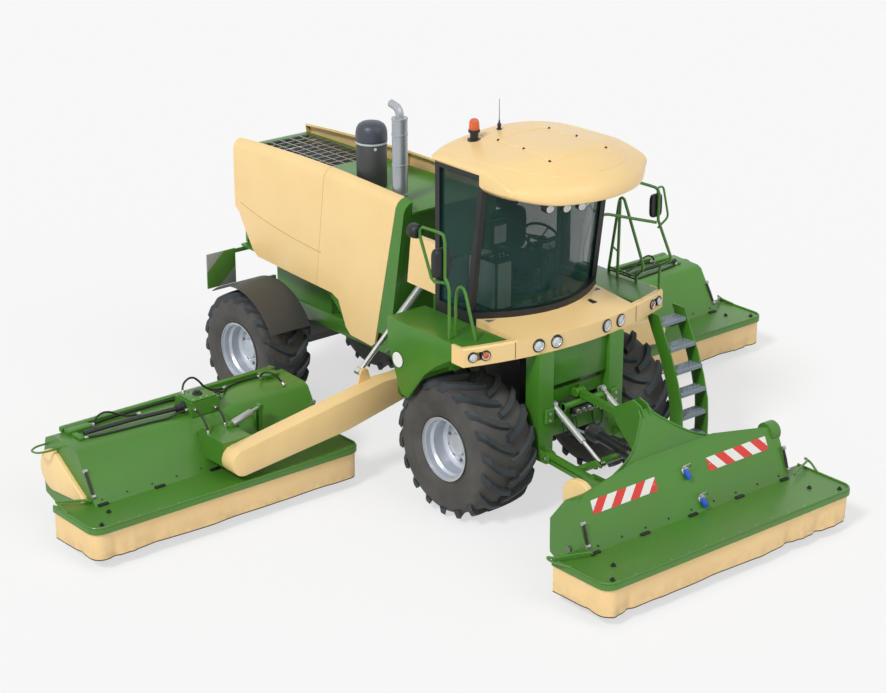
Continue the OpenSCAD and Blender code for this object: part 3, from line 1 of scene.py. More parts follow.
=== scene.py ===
from types import SimpleNamespace
from math import acos, atan2, cos, hypot, pi, radians, sin, sqrt
import bmesh
import bpy
import numpy as np
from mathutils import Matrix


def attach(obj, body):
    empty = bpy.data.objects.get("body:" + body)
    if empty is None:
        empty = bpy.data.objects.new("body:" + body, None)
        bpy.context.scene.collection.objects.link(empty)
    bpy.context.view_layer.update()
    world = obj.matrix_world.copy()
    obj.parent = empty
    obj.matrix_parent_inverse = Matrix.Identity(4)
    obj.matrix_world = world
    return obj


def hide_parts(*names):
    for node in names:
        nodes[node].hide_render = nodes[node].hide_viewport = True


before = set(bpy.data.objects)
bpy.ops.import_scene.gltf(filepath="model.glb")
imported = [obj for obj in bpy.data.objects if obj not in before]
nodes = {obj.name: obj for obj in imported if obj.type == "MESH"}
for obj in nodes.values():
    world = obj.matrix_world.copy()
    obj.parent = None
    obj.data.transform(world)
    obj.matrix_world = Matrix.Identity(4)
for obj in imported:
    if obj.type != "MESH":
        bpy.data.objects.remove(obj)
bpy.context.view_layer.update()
scene = bpy.context.scene
norm = np.linalg.norm
AXLE = -0.885  # the front axle along the machine, in metres
SIDES = (("left", 1), ("right", -1))
UP = (0, 0, 1)


def spot(x, y, z):
    """A point in millimetres, counted along the machine from the front axle."""
    return np.array([x / 1000, y / 1000 + AXLE, z / 1000])


def rgb(r, g, b):
    """A colour as a screen shows it, made linear."""
    return tuple(c / 255 / 12.92 if c <= 10 else ((c / 255 + 0.055) / 1.055) ** 2.4 for c in (r, g, b)) + (1.0,)


def angles(count):
    """Equal steps once round, in radians."""
    return np.arange(count) * 2 * pi / count


def circle(count, a, b):
    """Points round a unit circle in the plane of a and b."""
    return np.outer(np.cos(angles(count)), a) + np.outer(np.sin(angles(count)), b)


# The camera stands where the photograph was taken
lens = bpy.data.cameras.new("photo_camera")
lens.sensor_width = 36
lens.lens = 92.50
lens.clip_end = 200
camera = bpy.data.objects.new("photo_camera", lens)
camera.location = (-15.338, -17.744, 10.379)
camera.rotation_euler = (radians(90 - 21.06), 0, radians(-39.75))
scene.collection.objects.link(camera)
scene.camera = camera
scene.view_settings.view_transform = "Standard"


def joined(operation, swapped=False):
    """A method that joins a wire and another value in a Math node."""
    def join(self, other=0):
        a, b = (other, self) if swapped else (self, other)
        return self.finish.node("Math", {"operation": operation}, {0: a, 1: b})
    return join


class Wire:
    """A socket on which sums and products add Math nodes."""
    __add__, __radd__ = joined("ADD"), joined("ADD", True)
    __sub__, __rsub__ = joined("SUBTRACT"), joined("SUBTRACT", True)
    __mul__, __rmul__ = joined("MULTIPLY"), joined("MULTIPLY", True)
    __truediv__, __mod__ = joined("DIVIDE"), joined("FLOORED_MODULO")
    __gt__, __lt__, __abs__ = joined("GREATER_THAN"), joined("LESS_THAN"), joined("ABSOLUTE")

    def __init__(self, finish, socket):
        self.finish, self.socket = finish, socket


class Finish:
    """A material made of shader nodes."""

    def __init__(self, name, tree=None):
        self.material = None
        if tree is None:
            self.material = bpy.data.materials.new(name)
            self.material.use_nodes = True
            tree = self.material.node_tree
        self.tree = tree
        tree.nodes.clear()

    def node(self, kind, settings=None, sockets=None, out=0):
        made = self.tree.nodes.new("ShaderNode" + kind)
        for key, value in (settings or {}).items():
            setattr(made, key, value)
        for key, value in (sockets or {}).items():
            if isinstance(value, Wire):
                self.tree.links.new(value.socket, made.inputs[key])
            else:
                made.inputs[key].default_value = value
        return Wire(self, made.outputs[out]) if made.outputs else None

    def place(self, axis=None):
        where = self.node("TexCoord", out="Object")
        return where if axis is None else self.node("SeparateXYZ", None, {0: where}, "XYZ".index(axis))

    def waves(self, axis, scale, distortion=0.0):
        return self.node("TexWave", {"bands_direction": axis},
                         {"Vector": self.place(), "Scale": scale, "Distortion": distortion})

    def ray(self, kind):
        return self.node("LightPath", out=f"Is {kind} Ray")

    def noise(self, scale, detail=3.0, rough=0.55, stretch=None):
        where = self.place()
        if stretch is not None:
            where = self.node("VectorMath", {"operation": "MULTIPLY"}, {0: where, 1: stretch})
        return self.node("TexNoise", None, {"Vector": where, "Scale": scale, "Detail": detail, "Roughness": rough})

    def ramp(self, value, low, high):
        """0 below low, 1 above high, straight between them."""
        return self.node("MapRange", None, {0: value, 1: low, 2: high, 3: 0.0, 4: 1.0})

    def mix(self, share, a, b):
        return self.node("Mix", {"data_type": "RGBA"}, {0: share, 6: a, 7: b}, 2)

    def bump(self, height, depth, strength):
        return self.node("Bump", None, {"Strength": strength, "Distance": depth, "Height": height})

    def shade(self, **sockets):
        words = {key.replace("_", " ").title().replace("Ior", "IOR"): value for key, value in sockets.items()}
        shader = self.node("BsdfPrincipled", None, words)
        self.node("OutputMaterial", None, {"Surface": shader})
        return self.material


DUST = rgb(150, 132, 100)


def toned(colour, share, lift=0.0):
    """A colour made darker or paler."""
    return tuple(min(1.0, c * share + lift) for c in colour[:3]) + (1.0,)


def enamel(name, colour, shadow, rough, coat, dust):
    """Sprayed enamel: a faint orange peel, slow changes of tone and a film of road dust, thicker low down."""
    f = Finish(name)
    cloud = f.noise(1.7, 5.0)
    speck = f.noise(46.0, 4.0, 0.7)
    low = 1 - f.ramp(f.place("Z"), 0.15, 1.5)
    film = f.ramp(cloud * 0.7 + speck * 0.5, 0.45, 0.95) * (low * 0.8 + 0.12) * dust
    tone = f.mix(f.ramp(cloud, 0.3, 0.75) * 0.5, colour, shadow)
    return f.shade(base_color=f.mix(film, tone, DUST), roughness=rough + film * 0.5 + speck * 0.06,
                   coat_weight=coat * (1 - film), coat_roughness=0.12,
                   normal=f.bump(f.noise(260.0, 2.0), 0.0006, 0.35))


def rubber(name, colour, worn):
    """Tyre rubber: dull, grey with dust in the low places of its grain."""
    f = Finish(name)
    cloud = f.noise(3.2, 5.0)
    grain = f.noise(140.0, 3.0, 0.65)
    dusty = f.ramp(cloud * 0.6 + grain * 0.5, 0.42, 0.8)
    return f.shade(base_color=f.mix(dusty, colour, worn), roughness=0.62 + dusty * 0.25, specular_ior_level=0.35,
                   normal=f.bump(grain, 0.002, 0.4))


def bare_metal(name, colour, rough, metal, streak=(1.0, 1.0, 1.0)):
    f = Finish(name)
    cloud = f.noise(5.0, 4.0)
    hair = f.noise(90.0, 3.0, 0.6, streak)
    return f.shade(base_color=f.mix(f.ramp(cloud, 0.3, 0.8) * 0.35, colour, toned(colour, 0.6)),
                   metallic=metal, roughness=rough + (hair - 0.5) * 0.25, normal=f.bump(hair, 0.0004, 0.3))


def moulded(name, colour, rough=0.45, grain_size=320.0, depth=0.0006):
    """Moulded plastic with a fine leather grain."""
    f = Finish(name)
    grain = f.noise(grain_size, 2.0, 0.6)
    cloud = f.noise(2.5, 4.0)
    return f.shade(base_color=f.mix(f.ramp(cloud, 0.35, 0.8) * 0.5, colour, toned(colour, 1.5, 0.012)),
                   roughness=rough + (grain - 0.5) * 0.2, normal=f.bump(grain, depth, 0.5))


def pane(name, colour, alpha):
    f = Finish(name)
    smear = f.noise(1.4, 4.0)
    return f.shade(base_color=f.mix(f.ramp(smear, 0.35, 0.75), colour, toned(colour, 1.6)),
                   roughness=0.03 + smear * 0.03, alpha=alpha, specular_ior_level=0.3)


CREAM = enamel("cream_enamel", rgb(248, 214, 150), rgb(241, 203, 138), 0.34, 0.2, 0.3)
GREEN = enamel("green_enamel", rgb(65, 128, 30), rgb(48, 106, 22), 0.36, 0.18, 0.28)
DARK = enamel("dark_grey_enamel", rgb(58, 60, 60), rgb(46, 48, 48), 0.5, 0.05, 0.25)
TYRE = rubber("tyre_rubber", rgb(62, 61, 60), rgb(96, 94, 90))
LUG = rubber("lug_rubber", rgb(44, 50, 54), rgb(78, 82, 84))
SILVER = bare_metal("rim_silver", rgb(196, 202, 210), 0.42, 0.55)
CHROME = bare_metal("chromed_rod", rgb(214, 214, 210), 0.16, 1.0)
STEEL = bare_metal("plain_steel", rgb(128, 130, 132), 0.4, 0.85)
ZINC = bare_metal("zinc_plate", rgb(176, 178, 172), 0.34, 0.9)
STACK = bare_metal("stack_steel", rgb(176, 182, 188), 0.34, 0.65, (1.0, 1.0, 0.05))
RAM = bare_metal("ram_grey", rgb(176, 182, 176), 0.34, 0.35)
TREAD = bare_metal("tread_grey", rgb(128, 140, 150), 0.5, 0.3)
BLACK = moulded("black_plastic", rgb(17, 19, 21))
CASING = moulded("casing_plastic", rgb(58, 64, 74), 0.4)
TRIM = moulded("grey_trim", rgb(96, 104, 104), 0.55)
PALE = moulded("pale_grey_plastic", rgb(176, 190, 186), 0.5)
BLUE = moulded("blue_cap", rgb(22, 84, 190), 0.35)
HOSE = moulded("hose_rubber", rgb(22, 22, 23), 0.55)
PLATE = moulded("blank_plate", rgb(232, 232, 226), 0.4)
CLOTH = moulded("seat_cloth", rgb(38, 42, 46), 0.9, 900.0, 0.0012)
GLASS = pane("tinted_glass", rgb(18, 62, 57), 0.42)


def lit_lens(name, colour, rim):
    """A moulded lamp lens: fine ribs, painted as paler and darker stripes across x, a painted highlight and
    painted shade for the light the ribs catch.
    """
    f = Finish(name)
    ribs = f.waves("X", 42.0)
    # colour is the painted highlight of each rib; rim, though named for the lens's rim, is the painted shade
    # between the ribs
    return f.shade(base_color=f.mix(ribs, colour, rim), roughness=0.08 + ribs * 0.1,
                   coat_weight=0.6, coat_roughness=0.03, normal=f.bump(ribs, 0.002, 0.5))


LENS = lit_lens("clear_lens", rgb(232, 236, 240), rgb(186, 194, 204))
AMBER = lit_lens("amber_lens", rgb(232, 104, 26), rgb(196, 66, 14))
RED = lit_lens("red_lens", rgb(206, 44, 34), rgb(150, 22, 20))


def boarded(name):
    """Grey reflective sheet with a broad green band that leans up to the middle of the machine."""
    f = Finish(name)
    lean = abs(f.place("X")) * 0.9 + f.place("Z")
    band = (lean > 2.08) * (lean < 2.44)
    fleck = f.noise(120.0, 3.0)
    tone = f.mix(band, rgb(150, 156, 154), rgb(70, 132, 44))
    return f.shade(base_color=f.mix(fleck * 0.2, tone, DUST), roughness=0.35 + fleck * 0.15,
                   normal=f.bump(f.noise(400.0, 2.0), 0.0004, 0.4))


BOARD = boarded("board_sheet")

# Finish of the solids that show, and of the wheels under their pieces
wearing = {
    CREAM: "hood_sides fascia boom_left boom_right",
    GREEN: "main_frame hood_top hood_base platforms ladder handrails front_links front_top_link front_deck "
           "side_deck_left side_deck_right knuckle_left knuckle_right",
    DARK: "front_axle rear_axle fender_left fender_right engine_block",
    BOARD: "rear_boards",
    STACK: "exhaust",
    TYRE: "front_tyre_left front_tyre_right rear_tyre_left rear_tyre_right",
    SILVER: "front_rim_left front_rim_right rear_rim_left rear_rim_right",
    ZINC: "hood_screen",
    STEEL: "front_cutter_bar side_cutter_bar_left side_cutter_bar_right front_rotor "
           "side_rotor_left side_rotor_right",
    CHROME: "front_rods rod_left rod_right",
    RAM: "front_barrels barrel_left barrel_right",
    BLACK: "cab_base cab_frame door_frame controls",
    GLASS: "cab_glass door_glass",
}


SMOOTH_BELOW, BEVEL_FROM = radians(34), radians(40)
WELD_GAP = 5e-5


def soft_shading():
    """A modifier tree that shades a solid smooth, apart from its sharp edges."""
    tree = bpy.data.node_groups.new("soft_shading", "GeometryNodeTree")
    for way in ("INPUT", "OUTPUT"):
        tree.interface.new_socket("Geometry", in_out=way, socket_type="NodeSocketGeometry")
    kinds = ("NodeGroupInput", "GeometryNodeSetShadeSmooth", "GeometryNodeSetShadeSmooth", "NodeGroupOutput")
    start, faces, edges, end = (tree.nodes.new(kind) for kind in kinds)
    angle = tree.nodes.new("GeometryNodeInputMeshEdgeAngle")
    shallow = tree.nodes.new("FunctionNodeCompare")
    faces.domain, edges.domain, shallow.operation = "FACE", "EDGE", "LESS_THAN"
    shallow.inputs[1].default_value = SMOOTH_BELOW
    tree.links.new(angle.outputs[0], shallow.inputs[0])
    tree.links.new(shallow.outputs[0], edges.inputs["Shade Smooth"])
    for a, b in ((start, faces), (faces, edges), (edges, end)):
        tree.links.new(a.outputs[0], b.inputs[0])
    return tree


SOFT = soft_shading()
# Width of the rounded edges, in metres, of the solids that have them
ROUNDED = {"boom_left": 0.012, "boom_right": 0.012, "main_frame": 0.005, "ladder": 0.003, "platforms": 0.003,
           "front_links": 0.006, "rear_boards": 0.004, "hood_top": 0.004, "rear_axle": 0.006}
for finish, names in wearing.items():
    for name in names.split():
        solid = nodes[name]
        solid.data.materials.clear()
        solid.data.materials.append(finish)
        solid.modifiers.new("weld", "WELD").merge_threshold = WELD_GAP
        if name in ROUNDED:
            edge = solid.modifiers.new("edge", "BEVEL")
            edge.width, edge.segments = ROUNDED[name], 2
            edge.limit_method, edge.angle_limit = "ANGLE", BEVEL_FROM
        solid.modifiers.new("soft", "NODES").node_group = SOFT


def cut_corners(x0, y0, x1, y1, c):
    """A rectangle's outline with its corners cut off."""
    return [(x0 + c, y0), (x1 - c, y0), (x1, y0 + c), (x1, y1 - c),
            (x1 - c, y1), (x0 + c, y1), (x0, y1 - c), (x0, y0 + c)]


class Heap:
    """Many small things gathered into one mesh, each face with the number of its finish."""

    def __init__(self, *finishes):
        self.finishes, self.points, self.faces, self.marks = finishes, [], [], []

    def add(self, points, faces, mark=0):
        start = len(self.points)
        self.points.extend(tuple(float(c) for c in p) for p in points)
        self.faces.extend(tuple(start + i for i in f) for f in faces)
        self.marks.extend([mark] * len(faces))

    def rings(self, rows, mark=0, shut=True, caps=True):
        """A skin over rows of equal length; shut joins each row's ends, caps close the first and last row."""
        rows = np.asarray(rows, float)
        m, n = rows.shape[:2]
        faces = [(k * n + i, k * n + (i + 1) % n, (k + 1) * n + (i + 1) % n, (k + 1) * n + i)
                 for k in range(m - 1) for i in range(n if shut else n - 1)]
        if caps and shut:
            faces += [tuple(range(n - 1, -1, -1)), tuple(range((m - 1) * n, m * n))]
        self.add(rows.reshape(-1, 3), faces, mark)

    def tube(self, path, radius, mark=0, sides=10):
        """A round bar along a path; radius in millimetres, one or one for each point."""
        path = np.asarray(path, float)
        way = np.gradient(path, axis=0)
        way /= norm(way, axis=1)[:, None]
        side = np.cross(way[0], (0.31, 0.52, 0.80) if abs(way[0][2]) < 0.9 else (1, 0, 0))
        rows = []
        for p, t, r in zip(path, way, np.broadcast_to(radius, len(path)) / 1000):
            side = side - t * side.dot(t)
            side /= norm(side)
            rows.append(p + r * circle(sides, side, np.cross(t, side)))
        self.rings(rows, mark)

    def turned(self, at, axis, profile, mark=0, sides=24):
        """A lathe form: profile holds pairs of radius and height along the axis, in millimetres."""
        axis = np.asarray(axis, float) / norm(axis)
        a = np.cross(axis, (0.0, 0.0, 1.0) if abs(axis[2]) < 0.9 else (1.0, 0.0, 0.0))
        a /= norm(a)
        ring = circle(sides, a, np.cross(axis, a))
        self.rings([np.asarray(at) + (axis * h + max(r, 0.1) * ring) / 1000 for r, h in profile], mark)

    def block(self, low, high, chamfer, mark=0):
        """A block between two points in metres; its edges are cut by a chamfer in millimetres."""
        low, high = np.asarray(low, float), np.asarray(high, float)
        c = chamfer / 1000
        rows = []
        for z, inset in ((low[2], c), (low[2] + c, 0), (high[2] - c, 0), (high[2], c)):
            outline = cut_corners(low[0] + inset, low[1] + inset, high[0] - inset, high[1] - inset, c)
            rows.append([(x, y, z) for x, y in outline])
        self.rings(rows, mark)

    def boxes(self, *rows):
        """Blocks by their low and high corners, with chamfer and finish, in millimetres."""
        for x0, y0, z0, x1, y1, z1, chamfer, mark in rows:
            self.block(spot(x0, y0, z0), spot(x1, y1, z1), chamfer, mark)

    def bolt(self, at, axis, size, mark=0):
        """A hexagon head on its washer."""
        self.turned(at, axis, ((size * 1.15, 0), (size * 1.15, size * 0.2)), mark, 16)
        self.turned(at, axis, ((size, size * 0.2), (size, size * 0.8), (size * 0.86, size * 0.95)), mark, 6)

    def made(self, name, body, slot, stands_for=(), sharp=38):
        """All that was gathered, as one piece; edges over the sharp angle, in degrees, stay sharp."""
        mesh = bpy.data.meshes.new(name)
        mesh.from_pydata(self.points, [], self.faces)
        mesh.polygons.foreach_set("material_index", self.marks)
        work = bmesh.new()
        work.from_mesh(mesh)
        bmesh.ops.recalc_face_normals(work, faces=work.faces)
        work.to_mesh(mesh)
        work.free()
        for finish in self.finishes:
            mesh.materials.append(finish)
        mesh.shade_smooth()
        mesh.set_sharp_from_angle(angle=radians(sharp))
        thing = bpy.data.objects.new(name, mesh)
        scene.collection.objects.link(thing)
        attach(thing, body)
        if stands_for:
            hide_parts(*stands_for)
        return thing


def smooth_line(points, steps):
    """A smooth curve through all the points."""
    p = np.asarray(points, float)
    p = np.vstack([2 * p[0] - p[1], p, 2 * p[-1] - p[-2]])
    t = np.linspace(0, 1, steps, endpoint=False)[:, None]
    runs = [0.5 * (2 * b + (c - a) * t + (2 * a - 5 * b + 4 * c - d) * t ** 2 + (3 * b - a - 3 * c + d) * t ** 3)
            for a, b, c, d in zip(p, p[1:], p[2:], p[3:])]
    return np.vstack(runs + [p[-2:-1]])


def pillow(low, high, corner, belly, turns, tiers, channels=()):
    """Rows of a crowned, closed pad that fills a box; channels are seams, at shares of half its width."""
    low, high = np.asarray(low, float), np.asarray(high, float)
    middle, half = (low + high) / 2, (high - low) / 2

    def bent(value, power):
        return np.sign(value) * np.abs(value) ** power
    u = angles(turns)
    rows = []
    for v in np.linspace(-np.pi / 2 + 0.04, np.pi / 2 - 0.04, tiers):
        across = bent(np.cos(v), belly)
        x, y = across * bent(np.cos(u), corner), across * bent(np.sin(u), corner)
        z = np.full(turns, bent(np.sin(v), belly))
        for place in channels:
            z = z * (1 - 0.12 * np.exp(-((x - place) / 0.07) ** 2))
        rows.append(middle + half * np.column_stack([x, y, z]))
    return rows


def bent_tube(corners, radius, steps=6):
    """A path through corners, each rounded with a short curve; radius in millimetres."""
    p = np.asarray(corners, float)
    path = [p[0]]
    for a, b, c in zip(p, p[1:], p[2:]):
        back, on = a - b, c - b
        reach = min(radius / 1000, 0.45 * norm(back), 0.45 * norm(on))
        start, end = b + back / norm(back) * reach, b + on / norm(on) * reach
        path += [(1 - t) ** 2 * start + 2 * t * (1 - t) * b + t * t * end for t in np.linspace(0, 1, steps)]
    return np.array(path + [p[-1]])


def hose(name, body, slot, points, radius):
    """A hydraulic hose that leaves one fitting and ends in another, with a swaged ferrule at both."""
    path = smooth_line(points, 10)
    heap = Heap(HOSE)
    heap.tube(path, radius, 0, 10)
    thing = heap.made(name, body, slot)
    run = float(norm(np.diff(path, axis=0), axis=1).sum())
    ends = Heap(ZINC)
    for a, b in ((path[0], path[1]), (path[-1], path[-2])):
        way = (b - a) / norm(b - a)
        ends.turned(a, way, ((radius * 0.9, -4), (radius * 1.5, 0), (radius * 1.5, 28),
                             (radius * 1.15, 34)), 0, 12)
        ends.turned(a, way, ((radius * 1.9, -12), (radius * 1.9, 4)), 0, 6)
    fittings = ends.made(name + "_ends", body, slot)


# Wheels: half the track, place along, radius, width and radius of the rim's flange, in millimetres
WHEELS = {"front": (990, 0, 775, 720, 350), "rear": (970, 3850, 710, 600, 350)}
LUGS = 18


def on_wheel(hub, x, radius, angle):
    """A point round a wheel's hub, with x along the axle."""
    return hub + np.array([x, -radius * cos(angle), radius * sin(angle)]) / 1000


def tyre(name, end, hand):
    """A lathe carcass with ribs on its walls and two rows of curved lugs."""
    x, y, r, w, flange = WHEELS[end]
    hub = spot(hand * x, y, r)
    carcass = r - (66 if end == "front" else 58)
    heap = Heap(TYRE, LUG)
    wall = [(flange + a, b) for a, b in ((-20, 0.40), (2, 0.415), (22, 0.435), (30, 0.428), (42, 0.444))]
    wall += [(flange + share * (carcass - flange), b) for share, b in (
        (0.34, 0.484), (0.37, 0.480), (0.52, 0.5), (0.72, 0.497), (0.86, 0.474), (0.95, 0.43))]
    wall += [(carcass, 0.34), (carcass + 8, 0.18), (carcass + 12, 0.0)]
    outline = [(a, b * w) for a, b in wall] + [(a, -b * w) for a, b in wall[-2::-1]]
    heap.rings([[on_wheel(hub, b, a, t) for t in angles(120)] for a, b in outline], caps=False)
    for half in (1, -1):
        for k in range(LUGS):
            start = (k + (0 if half > 0 else 0.5)) * 2 * pi / LUGS
            sections = []
            for u in np.linspace(0, 1, 9):
                across = (-0.035 + 0.525 * u) * w
                lead = (0.02 + 0.40 * u - 0.075 * sin(pi * u)) * w
                wide = (0.050 + 0.014 * u) * w
                share = abs(across) / (w / 2)
                top = r * (1 - 0.030 * share ** 2.4) if u < 0.99 else r * 0.925
                foot = carcass - 6 - 46 * max(0, share - 0.72) / 0.28
                lean = 0.80 if u < 0.99 else 0.6
                ring = []
                for out, high in ((-1.3, 0), (-lean - 0.12, 0.9), (-lean, 1),
                                  (lean, 1), (lean + 0.12, 0.9), (1.3, 0)):
                    radius = foot + (top - foot) * high
                    angle = start + (lead + out * wide) / r
                    ring.append(on_wheel(hub, half * across, radius, angle))
                sections.append(ring if half > 0 else ring[::-1])
            heap.rings(sections, 1)
    heap.made(name, name.replace("tyre", "wheel"), "tyres", [name], 34)


def rim(name, end, hand):
    """Drop-centre rim with rolled flanges, a dished disc, its studs and the hub cap."""
    x, y, r, w, flange = WHEELS[end]
    hub = spot(hand * x, y, r)
    half = 0.43 * w
    heap = Heap(SILVER, STEEL)
    d = 60 if end == "front" else 40
    profile = [(flange - 2, half + 12), (flange - 10, half + 14), (flange - 8, half - 4), (flange - 30, half - 10),
               (flange - 34, half - 70), (flange - 58, half - 96), (flange - 60, d + 60), (flange - 66, d + 30),
               (flange - 100, d + 16), (240, d + 6), (214, d + 16), (170, d + 16), (150, d + 10), (112, d + 10)]

    def lathe(*pairs):
        heap.rings([[on_wheel(hub, hand * b, a, t) for t in angles(96)] for a, b in pairs], caps=False)
    lathe((flange - 22, -half - 12), (flange, -half - 12), (flange, -half), (flange - 22, -half),
          (flange - 22, half), (flange, half), (flange, half + 12), *profile)
    lathe((flange - 22, -half - 12), (flange - 32, -half - 12), (flange - 32, d - 4), (112, d - 4))
    lathe((124, d + 14), (120, d + 20), (120, d + 80), (113, d + 89), (84, d + 91),
          (80, d + 88), (40, d + 89), (4, d + 90))
    for k in range(10):
        a = 2 * pi * (k + 0.5) / 10
        heap.bolt(on_wheel(hub, hand * (d + 16), 192, a), (hand, 0, 0), 17, 1)
    heap.made(name + "_dish", name.replace("rim", "wheel"), "rims", [name], 30)


# Mowers: height of the decks, rear end of their aprons and radius of their corners, in millimetres
DECK_Z, APRON_BACK, CORNER = 480, 790, 140


class Mower:
    """A mower's sizes in millimetres: the deck's ends x0 and x1, the housing's ends h0 and h1, its start y,
    depth d, height h and the slope of its cover, and the place of the deck's front edge."""

    def __init__(self, **sizes):
        self.__dict__.update(sizes)

    def at(self, hand, x, y, z):
        return spot(hand * x, self.front + y, z)

    def box(self, heap, hand, low, high, chamfer, mark=0):
        a, b = self.at(hand, *low), self.at(hand, *high)
        heap.block(np.minimum(a, b), np.maximum(a, b), chamfer, mark)

    def cover(self, hand, x, z, lift=0):
        """A point on the sloping front of the cover, lifted off it along its normal, and the normal."""
        run, rise = self.slope[0] * self.d, self.slope[1] * self.h
        normal = np.array([0, -rise, run]) / hypot(run, rise)
        return self.at(hand, x, self.y + run * (z - DECK_Z) / rise, z) + normal * lift / 1000, normal

    def edge(self, inset, step=25.0):
        """Points along the deck's rim, from its rear inner corner round the front to its rear outer corner."""
        r = CORNER - inset
        corner = [radians(a) for a in range(0, 91, 9)]
        line = [(self.x0 + inset, APRON_BACK)]
        line += [(self.x0 + CORNER - r * cos(a), CORNER - r * sin(a)) for a in corner]
        line += [(self.x1 - CORNER + r * sin(a), CORNER - r * cos(a)) for a in corner]
        line = np.array(line + [(self.x1 - inset, APRON_BACK)], float)
        run = np.concatenate([[0], np.cumsum(norm(np.diff(line, axis=0), axis=1))])
        at = np.linspace(0, run[-1], int(run[-1] / step))
        return np.column_stack([np.interp(at, run, line[:, 0]), np.interp(at, run, line[:, 1])]), at


MOWERS = {
    "front": Mower(x0=-1780, x1=1780, h0=-1450, h1=1450, y=620, d=560, h=500, front=-3000, slope=(0.36, 0.93)),
    "side": Mower(x0=1500, x1=4887, h0=1620, h1=4557, y=500, d=1010, h=540, front=1160, slope=(0.30, 0.91)),
}


def woven(name, colour, shadow):
    """Coated cloth: a fine weave under a satin skin, a little soiled towards its hem."""
    f = Finish(name)
    fine = f.noise(2.2, 5.0)
    weave = f.waves("X", 190.0, 0.6)
    weft = f.waves("Z", 190.0, 0.6)
    soil = (1 - f.ramp(f.place("Z"), 0.11, 0.30)) * f.ramp(f.noise(9.0, 5.0), 0.35, 0.75)
    tone = f.mix(f.ramp(fine, 0.3, 0.75) * 0.6, colour, shadow)
    return f.shade(base_color=f.mix(soil * 0.45, tone, DUST), roughness=0.55 + soil * 0.3,
                   normal=f.bump(weave + weft, 0.0008, 0.35))


CURTAIN = woven("curtain_cloth", rgb(246, 212, 154), rgb(234, 197, 138))
# The dark band along each curtain's foot is partly a rubber hem and partly painted shade where the cloth meets the
# floor
HEM_AND_SHADE = moulded("hem_rubber_and_painted_shade", rgb(40, 40, 38), 0.7)
# Curtains: height of the rail and drop, in millimetres, and length of the cloth against its rail
RAIL_Z, DROP, SPARE = 470, 345, 1.02


def curtain(name, kind, hand, body, folds):
    """A curtain hung flat from its rail under the deck; folds holds the place, depth and width of each fold."""
    m = MOWERS[kind]
    line, at = m.edge(20)
    way = np.gradient(line, axis=0)
    way /= norm(way, axis=1)[:, None]
    out = np.column_stack([way[:, 1], -way[:, 0]])
    wave = 2.0 * np.sin(at / 147.0) + 3.0 * np.sin(at / 330.0 + 0.4)
    for place, deep, wide in folds:
        wave += deep * np.exp(-((at - place * at[-1]) / wide) ** 2)
    rows = []
    for v in np.append(np.linspace(0, 0.965, 14), 1.0):
        low = RAIL_Z - v * (DROP - 5.0 * np.sin(at / 160.0))
        push = np.clip(wave * v ** 1.15, -46, 15) - 3 * v
        flat = line + out * push[:, None]
        rows.append([m.at(hand, a, b, c) for (a, b), c in zip(flat, low)])
    heap = Heap(CURTAIN, HEM_AND_SHADE)
    heap.rings(rows, 0, False, False)
    # The lowest band takes the dark hem finish: partly a hem, partly painted shade
    heap.marks[1 - len(at):] = [1] * (len(at) - 1)
    thing = heap.made(name + "_cloth", body, "curtains", [name], 60)
    wide = at[-1] / 1000 * SPARE


# Rims, guard hoops, latches and hinges of the mowers
def deck_trim(kind, hand, body, name):
    m = MOWERS[kind]
    heap = Heap(GREEN, ZINC, BLACK)
    line, _ = m.edge(13, 60.0)
    heap.tube([m.at(hand, a, b, DECK_Z + 7) for a, b in line], 12, 0, 8)
    for a in np.arange(m.x0 + 180, m.x1 - 120, 240.0):
        heap.bolt(m.at(hand, a, 46, DECK_Z), UP, 8, 1)
    for end in [m.x1] if kind == "side" else [m.x0, m.x1]:
        o = 1 if end == m.x1 else -1
        inner = m.h1 if o > 0 else m.h0
        far = -20 if kind == "side" else 85
        hoop = [(inner + o * 4, 560, 530), (inner + o * 60, 585, 545), (end + o * (far - 60), 700, 545),
                (end + o * (far - 12), 770, 535), (end + o * (far - 12), 690, 515), (end - o * 16, 520, 494)]
        heap.tube(smooth_line([m.at(hand, *q) for q in hoop], 6), 13, 0, 8)
        for y in (30, 250):
            heap.turned(m.at(hand, end - o * (120 + y), 60 + y, DECK_Z), UP,
                        ((26, 0), (26, 12), (12, 16), (12, 30)), 2)
    for a in np.linspace(m.h0 + 90, m.h1 - 90, 5):
        m.box(heap, hand, (a - 60, m.y - 26, DECK_Z), (a + 60, m.y + 12, DECK_Z + 22), 4, 2)
    for a in (m.h0 + 14, m.h1 - 14):
        base = m.at(hand, a, m.y + 0.06 * m.d - 12, DECK_Z + 0.18 * m.h)
        tip = m.at(hand, a, m.y + 0.2 * m.d - 14, DECK_Z + 0.62 * m.h)
        heap.tube([base, (base + tip) / 2, tip], [12, 16, 12], 2, 8)
        for q in (base, tip):
            heap.turned(q, (1, 0, 0), ((0, -20), (22, -20), (22, 20), (0, 20)), 1, 14)
    heap.made(name, body, "green_paint")


# Striped warning plates on the front mower's cover, mirrored about the middle
def striped(name):
    f = Finish(name)
    band = ((abs(f.place("X")) + f.place("Z")) / 0.262 % 1.0) > 0.5
    worn = f.ramp(f.noise(30.0, 4.0), 0.55, 0.8) * 0.12
    tone = f.mix(band, rgb(236, 236, 230), rgb(222, 44, 34))
    return f.shade(base_color=f.mix(worn, tone, DUST), roughness=0.3 + worn, coat_weight=0.3, coat_roughness=0.1)


